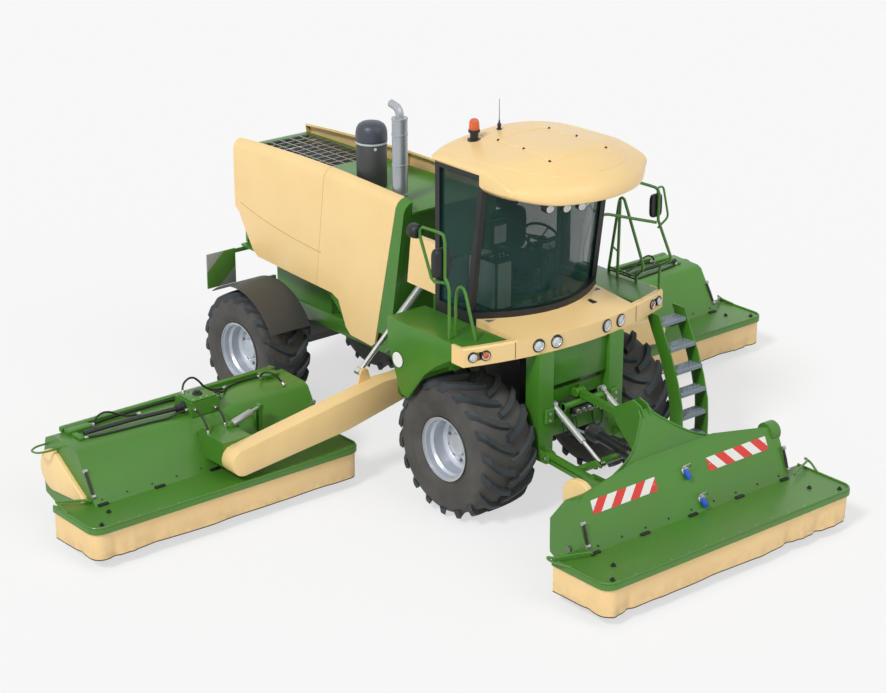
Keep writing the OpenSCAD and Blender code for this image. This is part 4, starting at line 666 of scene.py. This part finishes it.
def stripe_plates():
    m = MOWERS["front"]
    heap = Heap(striped("warning_stripes"), ZINC)
    z0, z1, r = 815, 945, 6
    for x0, x1 in ((-1250, -370), (370, 1250)):
        corners = cut_corners(x0, z0, x1, z1, r)
        heap.rings([[m.cover(1, x, z, lift)[0] for x, z in corners] for lift in (0, 3)])
        for x in (x0 + 30, x1 - 30):
            heap.turned(*m.cover(1, x, (z0 + z1) / 2, 3), ((9, 0), (8, 3), (0, 4)), 1, 12)
    heap.made("stripe_plates", "front_mower", "boards")


# Cab roof: one shell with a rounded nose that stands out over the windscreen. Sizes are in millimetres, and
# NOSE holds shares of the nose's reach and of its height.
ROOF_HALF, ROOF_REAR, EAVES, CROWN, BOSS_TOP = 965, 740, 3740, 3930, 3965
BEACON, AERIAL = (-480, 500), (-100, 540)
CAB_HALF, CAB_BOW, SCREEN_TOP = 900, 350, -140
NOSE = [(0, 1), (0.14, 0.955), (0.28, 0.89), (0.42, 0.81), (0.56, 0.715), (0.68, 0.62), (0.78, 0.53),
        (0.86, 0.445), (0.92, 0.365), (0.96, 0.28), (0.985, 0.19), (0.998, 0.09), (1, 0)]


def screen_line(x):
    """Place along of the windscreen's top at x."""
    return SCREEN_TOP - CAB_BOW * (1 - min(abs(x) / CAB_HALF, 1) ** 2)


def roof_sizes(x):
    """Screen line, nose reach, crown, front edge, back edge of the visor and the rear end of the roof at x."""
    s = abs(x) / ROOF_HALF
    turn = max(0.0, abs(x) - (ROOF_HALF - 60)) / 60
    fall = 60 * (1 - sqrt(max(0.0, 1 - turn * turn)))
    side = max(s - 0.5, 0) / 0.5
    return SimpleNamespace(line=screen_line(x) - 8, reach=550 * sqrt(1 - 0.26 * s ** 4) - fall,
                           top=CROWN - 145 * s ** 2 - 0.4 * fall, lip=3505 + 95 * side ** 2 + 0.3 * fall,
                           foot=3432 + 170 * side ** 2 + 0.3 * fall, rear=ROOF_REAR - 110 * s ** 6 - fall)


def roof_top(x, y):
    """Height of the roof's outside at x, y."""
    r = roof_sizes(x)
    if y >= r.line:
        return r.top - 12 * ((y - r.line) / (r.rear - r.line)) ** 2
    share = np.interp((r.line - y) / r.reach, [q[0] for q in NOSE], [q[1] for q in NOSE])
    return r.lip + 40 + share * (r.top - r.lip - 40)


def roof_ring(x):
    r = roof_sizes(x)
    line, reach, rear = r.line, r.reach, r.rear
    under = [(line - reach + 26, r.lip + 4), (line - 0.7 * reach, r.lip - 8),
             (line - 0.35 * reach, (r.lip + r.foot) / 2 - 6), (line - 24, r.foot), (line, r.foot + 14),
             (line, EAVES), (rear - 40, EAVES), (rear - 12, EAVES + 8)]
    tall = roof_top(x, rear) - EAVES
    back = [(rear, EAVES + 0.35 * tall), (rear - 4, EAVES + 0.62 * tall), (rear - 22, EAVES + 0.86 * tall),
            (rear - 60, roof_top(x, rear - 60) - 5)]
    over = [(y, roof_top(x, y)) for y in np.linspace(rear - 110, line, 9)]
    nose = [(line - a * reach, r.lip + 40 + b * (r.top - r.lip - 40)) for a, b in NOSE[1:]]
    return [spot(x, y, z) for y, z in under + back + over + nose + [(line - reach + 6, r.lip + 16)]]


def seam_x(y):
    """Place across of the beads that run along the roof."""
    return 352 + 60 * ((640 - y) / 1520) ** 2


def cab_top():
    heap = Heap(CREAM, BLACK)
    heap.rings([roof_ring(x) for x in ROOF_HALF * np.sin(np.linspace(-1, 1, 61) * pi / 2)])
    for (x, y), r in ((BEACON, 70), (AERIAL, 30)):
        low = roof_top(x, y) - 20
        heap.turned(spot(x, y, low), UP, ((r, 0), (r, 28), (r / 1.6, 34), (r / 1.6, BOSS_TOP - low)), 1, 36)
    bead = 11
    for hand in (1, -1):
        y = np.linspace(640, -640, 40)
        x = hand * seam_x(y)
        heap.tube([spot(a, b, roof_top(a, b) - 5) for a, b in zip(x, y)], bead, 0, 8)
        for b in (262, -150, -568):
            a = hand * seam_x(b)
            heap.turned(spot(a, b, roof_top(a, b)), UP, ((16, 0), (16, 6), (9, 8), (9, 16), (0, 17)), 1, 12)
    for b in (300, -600):
        a = seam_x(b)
        heap.tube([spot(x, b, roof_top(x, b) - 5) for x in np.linspace(-a, a, 25)], bead, 0, 8)
    side = [(-800, 610), (-815, 300), (-815, 0), (-775, -280), (-660, -540), (-480, -740), (-250, -850)]
    rim = smooth_line([(x, y, 0) for x, y in side] + [(0, -880, 0)] + [(-x, y, 0) for x, y in side[::-1]], 8)
    heap.tube([spot(x, y, roof_top(x, y) - 6) for x, y, _ in rim], bead, 0, 8)
    heap.made("cab_roof_shell", "chassis", "cream_panels", ["cab_roof"], 40)


# Lamps on the fascia and under the roof, the beacon and the aerial
def fascia_y(x):
    return -705 + 255 * (x / 1420) ** 2


def round_lamp(heap, at, way, r, lens=2):
    """Dark bezel, bright bowl and a domed lens; way points out of the lamp."""
    heap.turned(at, way, ((r, -40), (r, 4), (r * 0.94, 9), (r * 0.84, 9), (r * 0.80, 3)), 0, 32)
    heap.turned(at, way, ((r * 0.85, 4), (r * 0.80, 11), (r * 0.66, 9), (r * 0.60, 2)), 1, 32)
    heap.turned(at, way, ((r * 0.62, 0), (r * 0.56, 6), (r * 0.3, 11), (0, 13)), lens, 32)


def lamp_set():
    heap = Heap(BLACK, CHROME, LENS, AMBER, RED)
    for side in (1, -1):
        for x in (360, 585):
            round_lamp(heap, spot(side * x, fascia_y(x) - 2, 1962), (side * 0.2, -0.98, 0), 74)
        lean = np.array([side * 0.3, -0.954, 0])
        for x, lens in ((1325, 2), (1190, 3 if side < 0 else 4)):
            round_lamp(heap, spot(side * x, fascia_y(x) - 3, 1962), lean, 56, lens)
    for x in (-460, 0, 460):
        y = screen_line(x) - 185
        heap.block(spot(x - 30, y - 10, 3410), spot(x + 30, y + 45, 3432), 6, 0)
        round_lamp(heap, spot(x, y - 34, 3404), np.array([0, -0.96, -0.26]), 50)
    for x in (-590, -430, -270):
        r = roof_sizes(x)
        y, z = r.line - 0.84 * r.reach, r.lip - 36
        heap.turned(spot(x, y + 10, z), UP, ((18, 0), (18, 50)), 0, 14)
        round_lamp(heap, spot(x, y, z), np.array([-0.12, -0.96, -0.26]), 56)
    heap.made("lamp_set", "chassis", "lamps", ["lamps"], 40)


def beacon_and_aerial():
    heap = Heap(BLACK, AMBER)
    at = spot(*BEACON, BOSS_TOP)
    heap.turned(at, UP, ((60, 0), (62, 6), (62, 26), (56, 32)), 0, 32)
    ribs = angles(64)
    rows = []
    for r, h in ((0.054, 0.032), (0.056, 0.036), (0.054, 0.07), (0.052, 0.105), (0.047, 0.125), (0.036, 0.141),
                 (0.018, 0.149), (0.001, 0.150)):
        ridge = r * (1 + 0.018 * np.cos(16 * ribs))
        rows.append(np.column_stack([ridge * np.cos(ribs), ridge * np.sin(ribs), np.full(64, h)]) + at)
    heap.rings(rows, 1)
    foot = spot(*AERIAL, BOSS_TOP)
    heap.turned(foot, UP, ((24, 0), (22, 12), (10, 30), (6, 60)), 0, 20)
    heap.tube([foot + (0, 0, h) for h in (0.05, 0.12, 0.2, 0.284)], [4, 3.4, 2.8, 2.4], 0, 8)
    heap.made("beacon_and_aerial", "chassis", "beacon", ["beacon"], 40)


# Mirrors: two rounded heads and a round one, each with a glass in the face that looks back
def mirrors():
    heap = Heap(BLACK, CHROME)
    for low, high in (((-1462, -67, 2700), (-1262, 30, 3020)), ((1420, -244, 2815), (1580, -190, 3077))):
        heap.rings(pillow(spot(*low), spot(*high), 0.3, 0.42, 40, 18))
        a, b = np.array(low, float), np.array(high, float)
        inset = 0.14 * (b - a)
        ring = cut_corners(a[0] + inset[0], a[2] + inset[2] * 0.8, b[0] - inset[0], b[2] - inset[2] * 0.8, 16)
        heap.rings([[spot(x, b[1] - 5 + d, z) for x, z in ring] for d in (0, 5)], 1)
    at = spot(-1362, 330, 3100)
    heap.turned(at, (0, 1, 0), ((30, 0), (58, 4), (70, 16), (77, 50), (78, 108), (74, 118), (66, 120)), 0, 40)
    heap.turned(at, (0, 1, 0), ((66, 110), (66, 116.5), (0, 118.5)), 1, 40)
    heap.made("mirror_shells", "chassis", "dark_plastic", ["mirror_heads"], 40)


# Driver's seat on its bellows, and what stands round it
def seat():
    stand = Heap(BLACK, TRIM)
    rows = []
    for k, z in enumerate(np.linspace(2150, 2440, 13)):
        half = 150 if k % 2 else 172
        rows.append([spot(half * cos(a) * 1.1, 300 + half * sin(a), z) for a in angles(28)])
    stand.rings(rows)
    stand.boxes((-208, 120, 2110, 208, 485, 2152, 12, 0), (-200, 130, 2436, 200, 480, 2462, 10, 0))
    for x in (238, -238):
        stand.boxes((x - 22, 130, 2690, x + 22, 440, 2722, 12, 1), (x - 14, 410, 2560, x + 14, 445, 2700, 8, 0))
    stand.made("seat_stand", "chassis", "seat", ["seat"])
    for name, low, high, channels, fill in (
            ("seat_cushion", (-256, 64, 2456), (256, 500, 2578), (-0.55, 0.55), 0.75),
            ("seat_back", (-236, 446, 2560), (236, 556, 3050), (), 0.7),
            ("seat_headrest", (-140, 462, 3060), (140, 548, 3226), (), 0.8)):
        heap = Heap(CLOTH)
        heap.rings(pillow(spot(*low), spot(*high), 0.34, 0.42, 56, 26, channels))
        heap.made(name, "chassis", "seat", (), 70)


def cab_fittings():
    """Console cover, display, instrument pod, pedals, floor mat, fascia seams, a catch and the door's handle."""
    heap = Heap(PALE, BLACK, LENS, TRIM)
    heap.boxes((-564, 36, 2114, -326, 504, 2674, 30, 0), (-548, 52, 2672, -342, 300, 2690, 8, 1))
    for k in range(8):
        heap.turned(spot(-500 + 52 * (k % 4), 110 + 70 * (k // 4), 2690), UP, ((14, 0), (13, 8), (0, 9)), 2, 14)
    heap.tube(smooth_line([spot(-420, 250, 2685), spot(-420, 240, 2760), spot(-425, 215, 2810)], 6), 11, 1, 10)
    heap.rings(pillow(spot(-450, 180, 2790), spot(-400, 240, 2880), 0.5, 0.6, 24, 12), 1)
    heap.boxes((-592, 64, 2842, -388, 70, 3108, 3, 1), (-592, 110, 2842, -388, 116, 3108, 3, 1),
               (-572, 61, 2870, -408, 65, 3060, 2, 2))
    heap.rings(pillow(spot(-130, -150, 2730), spot(130, -60, 2850), 0.4, 0.5, 32, 14), 1)
    heap.boxes((-90, -162, 2752, 90, -146, 2826, 5, 2),
               *((x - 30, -150, 2180, x + 30, -120, 2290, 6, 1) for x in (-170, 120, 210)),
               (-800, -120, 2110, 800, 540, 2118, 2, 3), (-790, 500, 2120, -300, 590, 2620, 30, 3),
               (300, 500, 2120, 790, 590, 2560, 30, 3), (452, -372, 2098, 512, -262, 2112, 4, 1))
    for x in (-860, 860):
        heap.tube([spot(x, fascia_y(x) - 1, z) for z in (1868, 1950, 2050)], 3, 1, 6)
    heap.made("cab_fittings", "chassis", "controls")
    handle = Heap(BLACK, CHROME)
    grip = ((906, 128, 2800), (932, 128, 2800), (932, 118, 2960), (906, 118, 2960))
    handle.tube(bent_tube([spot(*q) for q in grip], 20), 10, 0, 10)
    handle.turned(spot(906, 150, 2760), (1, 0, 0), ((18, 0), (18, 6), (8, 8)), 1, 16)
    handle.made("door_handle", "door", "cab_black")


# Ladder treads, toe rails and the disc on the cheek
def standing_gear():
    treads = Heap(TREAD)
    for share_y, share_z in ((0.13, 0.905), (0.50, 0.735), (0.76, 0.575),
                             (0.94, 0.405), (1.0, 0.225), (1.0, 0.04)):
        y, z = -440 - 410 * share_y, 420 + 1440 * share_z
        treads.block(spot(1207, y - 173, z - 2), spot(1583, y - 8, z + 44), 6)
        for i in range(7):
            for j in range(3):
                treads.turned(spot(1245 + 50 * i, y - 145 + 54 * j, z + 44), UP,
                              ((17, 0), (14, 4), (8, 4), (6, 0)), 0, 12)
    treads.made("ladder_treads", "chassis", "rims")
    rails = Heap(GREEN, BLACK)
    rails.tube([spot(1362, y, 2125) for y in (338, 200, 50, -92)], 12, 0, 10)
    rails.tube([spot(1362, y, 2092) for y in (338, 200, 50, -88)], 9, 1, 10)
    rails.tube([spot(1362 - 60 * t, 300 - 150 * t, 2380 - 10 * t) for t in (0, 0.5, 1)], 11, 0, 10)
    loop = ((1500, -240, 3077), (1500, -238, 3150), (1612, -212, 3140), (1636, -280, 2800), (1500, -262, 2700))
    rails.tube(bent_tube([spot(*q) for q in loop], 50), 12, 0, 10)
    rails.made("toe_rails", "chassis", "green_paint")
    disc = Heap(PLATE, BLACK)
    at = spot(-1420, 620, 1630)
    disc.turned(at, (-1, 0, 0), ((92, 0), (92, 3), (88, 4)), 1, 48)
    disc.turned(at, (-1, 0, 0), ((84, 3), (84, 4.5), (0, 5)), 0, 48)
    disc.made("blank_disc", "chassis", "boards")


# What stands on the mowers: end plates of the conditioners, headstock sheet, couplings, beams, gearboxes and hoses
def arc_plate(heap, arcs, x0, x1, bevel, rim, mark=0):
    """A plate across x, in metres, with a softened outer rim. Each arc of its outline has its centre in y and z,
    radius, first and last angle and number of points; rim holds the shares of the bevel where the rim turns."""
    def ring(x, inset):
        return [(x, y + (r - inset) * cos(t), z + (r - inset) * sin(t))
                for (y, z), r, first, last, count in arcs for t in np.linspace(first, last, count)]
    step = bevel if x1 > x0 else -bevel
    heap.rings([ring(x0, 0), ring(x1 - step, 0), ring(x1 - rim[0] * step, bevel * rim[1]),
                ring(x1, bevel * rim[2])], mark)


def rounded_outline(centre, half, r):
    """A rectangle with round corners."""
    return [(centre + (half - r) * np.array(way), r, k * pi / 2, (k + 1) * pi / 2, 9)
            for k, way in enumerate(((1, 1), (-1, 1), (-1, -1), (1, -1)))]


def drop_outline(a, r, b, q):
    """A drop round two circles, each a centre and a radius."""
    way = b - a
    turn, opened = atan2(way[1], way[0]), acos((r - q) / norm(way))
    return [(a, r, turn + opened, turn + 2 * pi - opened, 41), (b, q, turn - opened, turn + opened, 13)]


def front_mower_gear():
    m = MOWERS["front"]
    heap = Heap(GREEN, CREAM, BLACK, ZINC, BLUE)
    arc_plate(heap, rounded_outline(m.at(1, 0, 1070, 825)[1:], np.array([0.215, 0.225]), 0.2),
              -1.130, -1.195, 0.008, (1 / 3, 0.45, 1.4), 1)
    heap.turned(spot(1330, -2100, 930), (1, 0, 0), ((90, 0), (110, 10), (110, 135), (102, 145),
                                                    (70, 145), (66, 135), (0, 133)), 0, 44)
    heap.turned(spot(1452, -2010, 720), (1, 0, 0), ((75, 0), (80, 6), (80, 30), (70, 38), (30, 40)), 2, 36)
    foot, head = spot(0, -2069, 940)[1:], spot(0, -1550, 1475)[1:]
    widths = ((1180, 0.0), (1000, 0.05), (800, 0.12), (640, 0.195), (520, 0.265), (410, 0.35),
              (320, 0.45), (235, 0.56), (150, 0.68), (84, 0.78), (74, 0.86))
    across = np.array([0, -(head - foot)[1], (head - foot)[0]])
    across /= norm(across)
    rows = []
    for half, share in widths:
        y, z = foot + (head - foot) * share
        left, right = np.array([-half / 1000, y, z]), np.array([half / 1000, y, z])
        rows.append([left + across * 0.012, right + across * 0.012, right, left])
    heap.rings(rows)
    rim = [np.array([-half / 1000, *(foot + (head - foot) * share)]) + across * 0.014 for half, share in widths]
    heap.tube(rim, 12, 0, 8)
    heap.tube([q * np.array([-1, 1, 1]) for q in rim], 12, 0, 8)
    for x, z in ((40, 905), (165, 600)):
        at, n = m.cover(1, x, z)
        heap.turned(at, n, ((45, 0), (45, 12), (30, 18), (30, 35)), 3, 24)
        heap.turned(at + np.array([0, -0.035, -0.01]), (0.2, -0.5, -1),
                    ((26, -30), (30, 0), (30, 60), (22, 75)), 4, 20)
        bail = ((0.03, -0.07, 0.03), (0.05, -0.05, 0.06), (0.05, 0.05, 0.06), (0.03, 0.06, 0.02))
        heap.tube(bent_tube([at + n * out + (along, 0, up) for out, along, up in bail], 30), 7, 3, 8)
    for x in np.linspace(-1300, 1300, 9):
        heap.bolt(*m.cover(1, x, 535), 10, 2)
    heap.made("front_mower_gear", "front_mower", "green_paint")


def shaft_cover():
    """Drive shaft guard with its bellows between the machine and the front mower."""
    heap = Heap(BLACK, STEEL)
    a, b = spot(0, -850, 910), spot(0, -1545, 838)
    profile = [(0.0, 85)] + [(0.02 + 0.022 * k, 92 if k % 2 else 78) for k in range(8)] + [(0.22, 62), (0.7, 60)]
    profile += [(0.73 + 0.02 * k, 72 if k % 2 else 60) for k in range(8)] + [(0.93, 45), (1.0, 40)]
    way, far = b - a, 1000 * norm(b - a)
    heap.turned(a, way, [(r, s * far) for s, r in profile], 0, 32)
    heap.turned(a, way, [(34, 0.99 * far), (34, far + 30)], 1, 20)
    heap.made("shaft_cover", "front_links", "dark_plastic")


def lift_plumbing():
    """Cross tube, valve block and hoses on the front of the frame."""
    heap = Heap(GREEN, BLACK, ZINC)
    heap.tube([spot(x, -722, 1215) for x in (-285, -100, 100, 285)], 36, 0, 16)
    heap.boxes(*((x, -766, 1170, x + 12, -702, 1260, 3, 0) for x in (-285, 273)),
               (-170, -770, 1106, 170, -702, 1180, 8, 1))
    for x in (-120, -40, 40, 120):
        heap.turned(spot(x, -770, 1146), (0, -1, 0), ((26, 0), (26, 20), (18, 24), (18, 50), (0, 52)), 2, 16)
    for x in (-470, 470):
        heap.block(spot(x - 60, -735, 1080), spot(x + 60, -702, 1240), 8, 0)
        for z in (1110, 1190):
            heap.bolt(spot(x, -735, z), (0, -1, 0), 16, 2)
    heap.made("lift_valves", "chassis", "green_paint")
    # Each hose hangs in a loop: steps outwards, place along, share of the bow forward, and height
    loop = ((0, -722, 0, 1104), (2, -728, 0.5, 1040), (8, -734, 1, 970), (32, -738, 1, 912), (76, -740, 1, 890),
            (120, -738, 1, 912), (144, -732, 1, 970), (150, -724, 0.5, 1040), (152, -720, 0, 1080))
    for k, (x, bow) in enumerate(((-140, 0), (-108, 30), (108, 30), (140, 0))):
        o = 1 if x > 0 else -1
        hose(f"lift_hose_{k + 1}", "chassis", "dark_plastic",
             [spot(x + o * step, y - share * bow, z) for step, y, share, z in loop], 6.5)


def side_mower_gear(side, hand):
    m = MOWERS["side"]
    body = f"boom_{side}"
    heap = Heap(GREEN, CREAM, BLACK, ZINC, RAM)

    def box(x0, y0, z0, x1, y1, z1, chamfer):
        m.box(heap, hand, (x0, y0, z0), (x1, y1, z1), chamfer)

    def at(x, y, z):
        return m.at(hand, x, y, z)
    arc_plate(heap, drop_outline(at(0, 1270, 640)[1:], 0.228, at(0, 700, 505)[1:], 0.045),
              hand * 4.5585, hand * 4.612, 0.016, (0.35, 0.4, 1.3), 1)
    box(1700, 1300, 1006, 4440, 1362, 1066, 10)
    for x in np.linspace(1760, 4380, 8):
        box(x - 34, 1288, 1000, x + 34, 1374, 1018, 4)
        heap.bolt(at(x, 1331, 1066), UP, 11, 3)
    box(4130, 1180, 1012, 4420, 1300, 1060, 8)
    box(4330, 1000, 1006, 4400, 1310, 1040, 8)
    box(1760, 1140, 1010, 1960, 1300, 1064, 8)
    box(2800, 830, 1150, 3120, 1110, 1168, 6)
    for x in (2830, 2920, 3000, 3090):
        for y in (850, 1090):
            heap.bolt(at(x, y, 1168), UP, 11, 3)
    heap.turned(at(2960, 970, 1168), UP, ((55, 0), (50, 20), (30, 26), (30, 40), (0, 42)), 2, 24)
    for x in (2780, 3140):
        heap.turned(at(x, 970, 1070), (hand if x > 3000 else -hand, 0, 0),
                    ((62, 0), (62, 20), (45, 30), (45, 90), (30, 100)), 2, 28)
    heap.tube([at(3230, 970, 1070), at(3800, 1010, 1075), at(4330, 1040, 1062)], 24, 2, 14)
    a, b = at(2830, 560, 905), at(2400, 620, 985)
    way = b - a
    heap.turned(a, way, ((36, 30), (40, 40), (40, 300), (34, 310)), 4, 24)
    heap.turned(a, way, ((18, 0), (18, 1000 * norm(way))), 3, 16)
    for q in (a, b):
        heap.turned(q - np.array([0, 0.03, 0]), (0, 1, 0), ((30, 0), (34, 4), (34, 56), (30, 60)), 0, 20)
    box(2806, 520, 870, 2854, 536, 915, 4)
    box(2806, 586, 870, 2854, 602, 915, 4)
    box(2376, 600, 640, 2424, 616, 1000, 4)
    box(2376, 648, 700, 2424, 664, 1000, 4)
    for z, r in ((700, 16), (800, 12)):
        heap.bolt(*m.cover(hand, 2640, z), r, 2)
    for x in np.linspace(1720, 4460, 10):
        heap.bolt(*m.cover(hand, x, 528), 9, 2)
    hoop = ((4557, 1180, 905), (4700, 1190, 905), (4790, 1230, 900), (4800, 1330, 896),
            (4700, 1400, 892), (4557, 1404, 890))
    heap.tube(bent_tube([at(*q) for q in hoop], 50), 11, 0, 10)
    heap.made(f"side_mower_gear_{side}", body, "green_paint")
    runs = (
        [(2786, 1000, 1110), (2700, 1010, 1112), (2560, 1080, 1050), (2450, 1180, 1034), (2250, 1240, 1034),
         (2060, 1240, 1034), (1962, 1232, 1036)],
        [(2960, 1134, 1070), (2962, 1180, 1066), (3010, 1250, 1036), (3130, 1282, 1034), (3400, 1284, 1034),
         (3800, 1284, 1034), (4040, 1262, 1034), (4126, 1240, 1036)],
        [(3144, 890, 1060), (3230, 884, 1056), (3380, 900, 1024), (3560, 930, 1018), (3760, 945, 1018),
         (3960, 960, 1018), (4200, 985, 1018), (4326, 1020, 1022)],
        [(4118, 1200, 1034), (4104, 1200, 1084), (4062, 1199, 1130), (3990, 1198, 1152), (3910, 1196, 1138),
         (3830, 1194, 1096), (3740, 1191, 1054), (3650, 1189, 1034), (3560, 1188, 1030)],
        [(3070, 1080, 1170), (3062, 1096, 1216), (3020, 1124, 1262), (2940, 1152, 1284), (2860, 1174, 1262),
         (2790, 1188, 1200), (2720, 1198, 1120), (2640, 1206, 1062), (2540, 1212, 1034), (2440, 1214, 1030)],
        [(1976, 1180, 1036), (2002, 1150, 1084), (1992, 1075, 1136), (1936, 985, 1124), (1892, 925, 1050),
         (1880, 890, 1022)],
        [(3110, 560, 884), (3112, 570, 940), (3114, 620, 1010), (3112, 700, 1060), (3108, 770, 1078),
         (3106, 806, 1078)],
        [(2850, 620, 884), (2850, 630, 930), (2850, 670, 990), (2850, 730, 1030), (2850, 780, 1040),
         (2850, 806, 1040)],
    )
    for k, run in enumerate(runs):
        hose(f"mower_hose_{side}_{k + 1}", body, "dark_plastic", [at(*q) for q in run], 11.5)


# Hood: half its width at the front and at the rear, its front and its length, in millimetres
HOOD_WIDE, HOOD_NARROW, HOOD_FRONT, HOOD_LONG = 680, 590, 1380, 3390


# Creases of the hood, drawn as darker cream beads that paint the shade in them, bands of the stack, bolts of the
# pins
def hood_trim():
    heap = Heap(enamel("crease_shade", rgb(214, 176, 116), rgb(204, 166, 108), 0.4, 0.1, 0.3), STACK)
    start, end = 4640, 3000
    for hand in (1, -1):
        path = []
        for y in np.linspace(start, end, 30):
            share = (start - y) / (start - end)
            half = HOOD_WIDE + (HOOD_NARROW - HOOD_WIDE) * (y - HOOD_FRONT) / HOOD_LONG
            path.append(spot(hand * (half - 2), y, 2230 - 200 * share ** 0.8 - 70 * sin(pi * share) * 0.4))
        heap.tube(path, 7.5, 0, 8)
    for z in (2965, 3300, 3640, 3815):
        heap.turned(spot(-430, 1800, z), UP, ((87, 0), (90.5, 3), (90.5, 22), (87, 25)), 1, 40)
    heap.made("hood_trim", "chassis", "cream_panels")


def air_cleaner():
    """Drum of the air pre-cleaner with its pale band and the domed cap over it."""
    heap = Heap(DARK, PALE, CASING)
    at = spot(-290, 2480, 2890)
    heap.turned(at, UP, ((168, 0), (172, 12), (172, 490), (165, 500)), 0, 56)
    heap.turned(at, UP, ((168, 494), (178, 498), (178, 516), (168, 520)), 1, 56)
    heap.turned(at, UP, ((166, 512), (179, 526), (180, 545), (178, 620), (168, 668), (146, 706),
                         (110, 729), (60, 741), (0, 745)), 2, 56)
    for k in range(3):
        a = 2.2 + 2 * pi * k / 3
        side = np.array([cos(a), sin(a), 0])
        heap.turned(at + side * 0.170 + (0, 0, 0.46), side, ((18, 0), (18, 8), (8, 10)), 1, 14)
    heap.made("air_cleaner", "chassis", "engine", ["precleaner"], 40)


def pin_caps():
    heap = Heap(ZINC)
    for hand in (1, -1):
        heap.bolt(spot(hand * 860, 1154, 1000), (0, -1, 0), 34)
        heap.bolt(spot(hand * 596, -800, 740), (hand, 0, 0), 22)
    heap.made("pin_caps", "chassis", "rods")


# Floor, light and the white surroundings
def surroundings():
    half = 160.0
    mesh = bpy.data.meshes.new("studio_floor")
    mesh.from_pydata([(-half, -half, 0), (half, -half, 0), (half, half, 0), (-half, half, 0)], [], [(0, 1, 2, 3)])
    floor = bpy.data.objects.new("studio_floor", mesh)
    scene.collection.objects.link(floor)
    f = Finish("floor_white")
    seen = f.ray("Camera") + f.ray("Glossy")
    shader = f.node("BsdfDiffuse", None, {"Color": (0.9, 0.9, 0.9, 1.0)})
    glow = f.node("Emission", None, {"Color": (1.0, 1.0, 1.0, 1.0), "Strength": 1.0})
    f.node("OutputMaterial", None, {"Surface": f.node("MixShader", None, {0: seen * 0.62, 1: shader, 2: glow})})
    mesh.materials.append(f.material)
    world = bpy.data.worlds.new("white_sky")
    scene.world = world
    world.use_nodes = True
    f = Finish("white_sky", world.node_tree)
    seen = f.ray("Camera") + f.ray("Glossy") + f.ray("Transmission")
    up = f.node("SeparateXYZ", None, {0: f.node("TexCoord", out="Generated")}, 2)
    lit = 0.62 - f.ramp(up, 0.0, 1.0) * 0.34
    plain = seen > 0.5
    sky = f.node("Background", None, {"Color": (1.0, 1.0, 1.0, 1.0), "Strength": lit * (1 - plain) + plain})
    f.node("OutputWorld", None, {"Surface": sky})
    for name, turn, power, width in (("key_sun", (46, 0, -74), 1.9, 12), ("fill_sun", (52, 0, 10), 0.55, 40)):
        sun = bpy.data.lights.new(name, "SUN")
        sun.energy = power
        sun.angle = radians(width)
        lamp = bpy.data.objects.new(name, sun)
        lamp.rotation_euler = [radians(a) for a in turn]
        scene.collection.objects.link(lamp)


# Everything is built here, in one order
for side, hand in SIDES:
    for end in WHEELS:
        tyre(f"{end}_tyre_{side}", end, hand)
        rim(f"{end}_rim_{side}", end, hand)
curtain("front_curtain", "front", 1, "front_mower",
        [(0.10, -18, 60), (0.165, 16, 40), (0.205, -30, 50), (0.30, 9, 90), (0.44, -8, 130), (0.58, 10, 80),
         (0.66, -30, 55), (0.705, 15, 36), (0.75, -34, 48), (0.80, 14, 40), (0.845, -30, 40), (0.93, -12, 60)])
for side, hand in SIDES:
    curtain(f"side_curtain_{side}", "side", hand, f"boom_{side}",
            [(0.13, -16, 60), (0.22, 8, 90), (0.38, -7, 160), (0.55, 8, 120), (0.70, -10, 70), (0.755, 12, 40),
             (0.80, -24, 46), (0.90, -14, 60)])
deck_trim("front", 1, "front_mower", "front_deck_trim")
for side, hand in SIDES:
    deck_trim("side", hand, f"boom_{side}", f"side_deck_trim_{side}")
for build in (stripe_plates, cab_top, lamp_set, beacon_and_aerial, mirrors, seat, cab_fittings,
              standing_gear, front_mower_gear, shaft_cover, lift_plumbing):
    build()
for side, hand in SIDES:
    side_mower_gear(side, hand)
for build in (hood_trim, air_cleaner, pin_caps, surroundings):
    build()
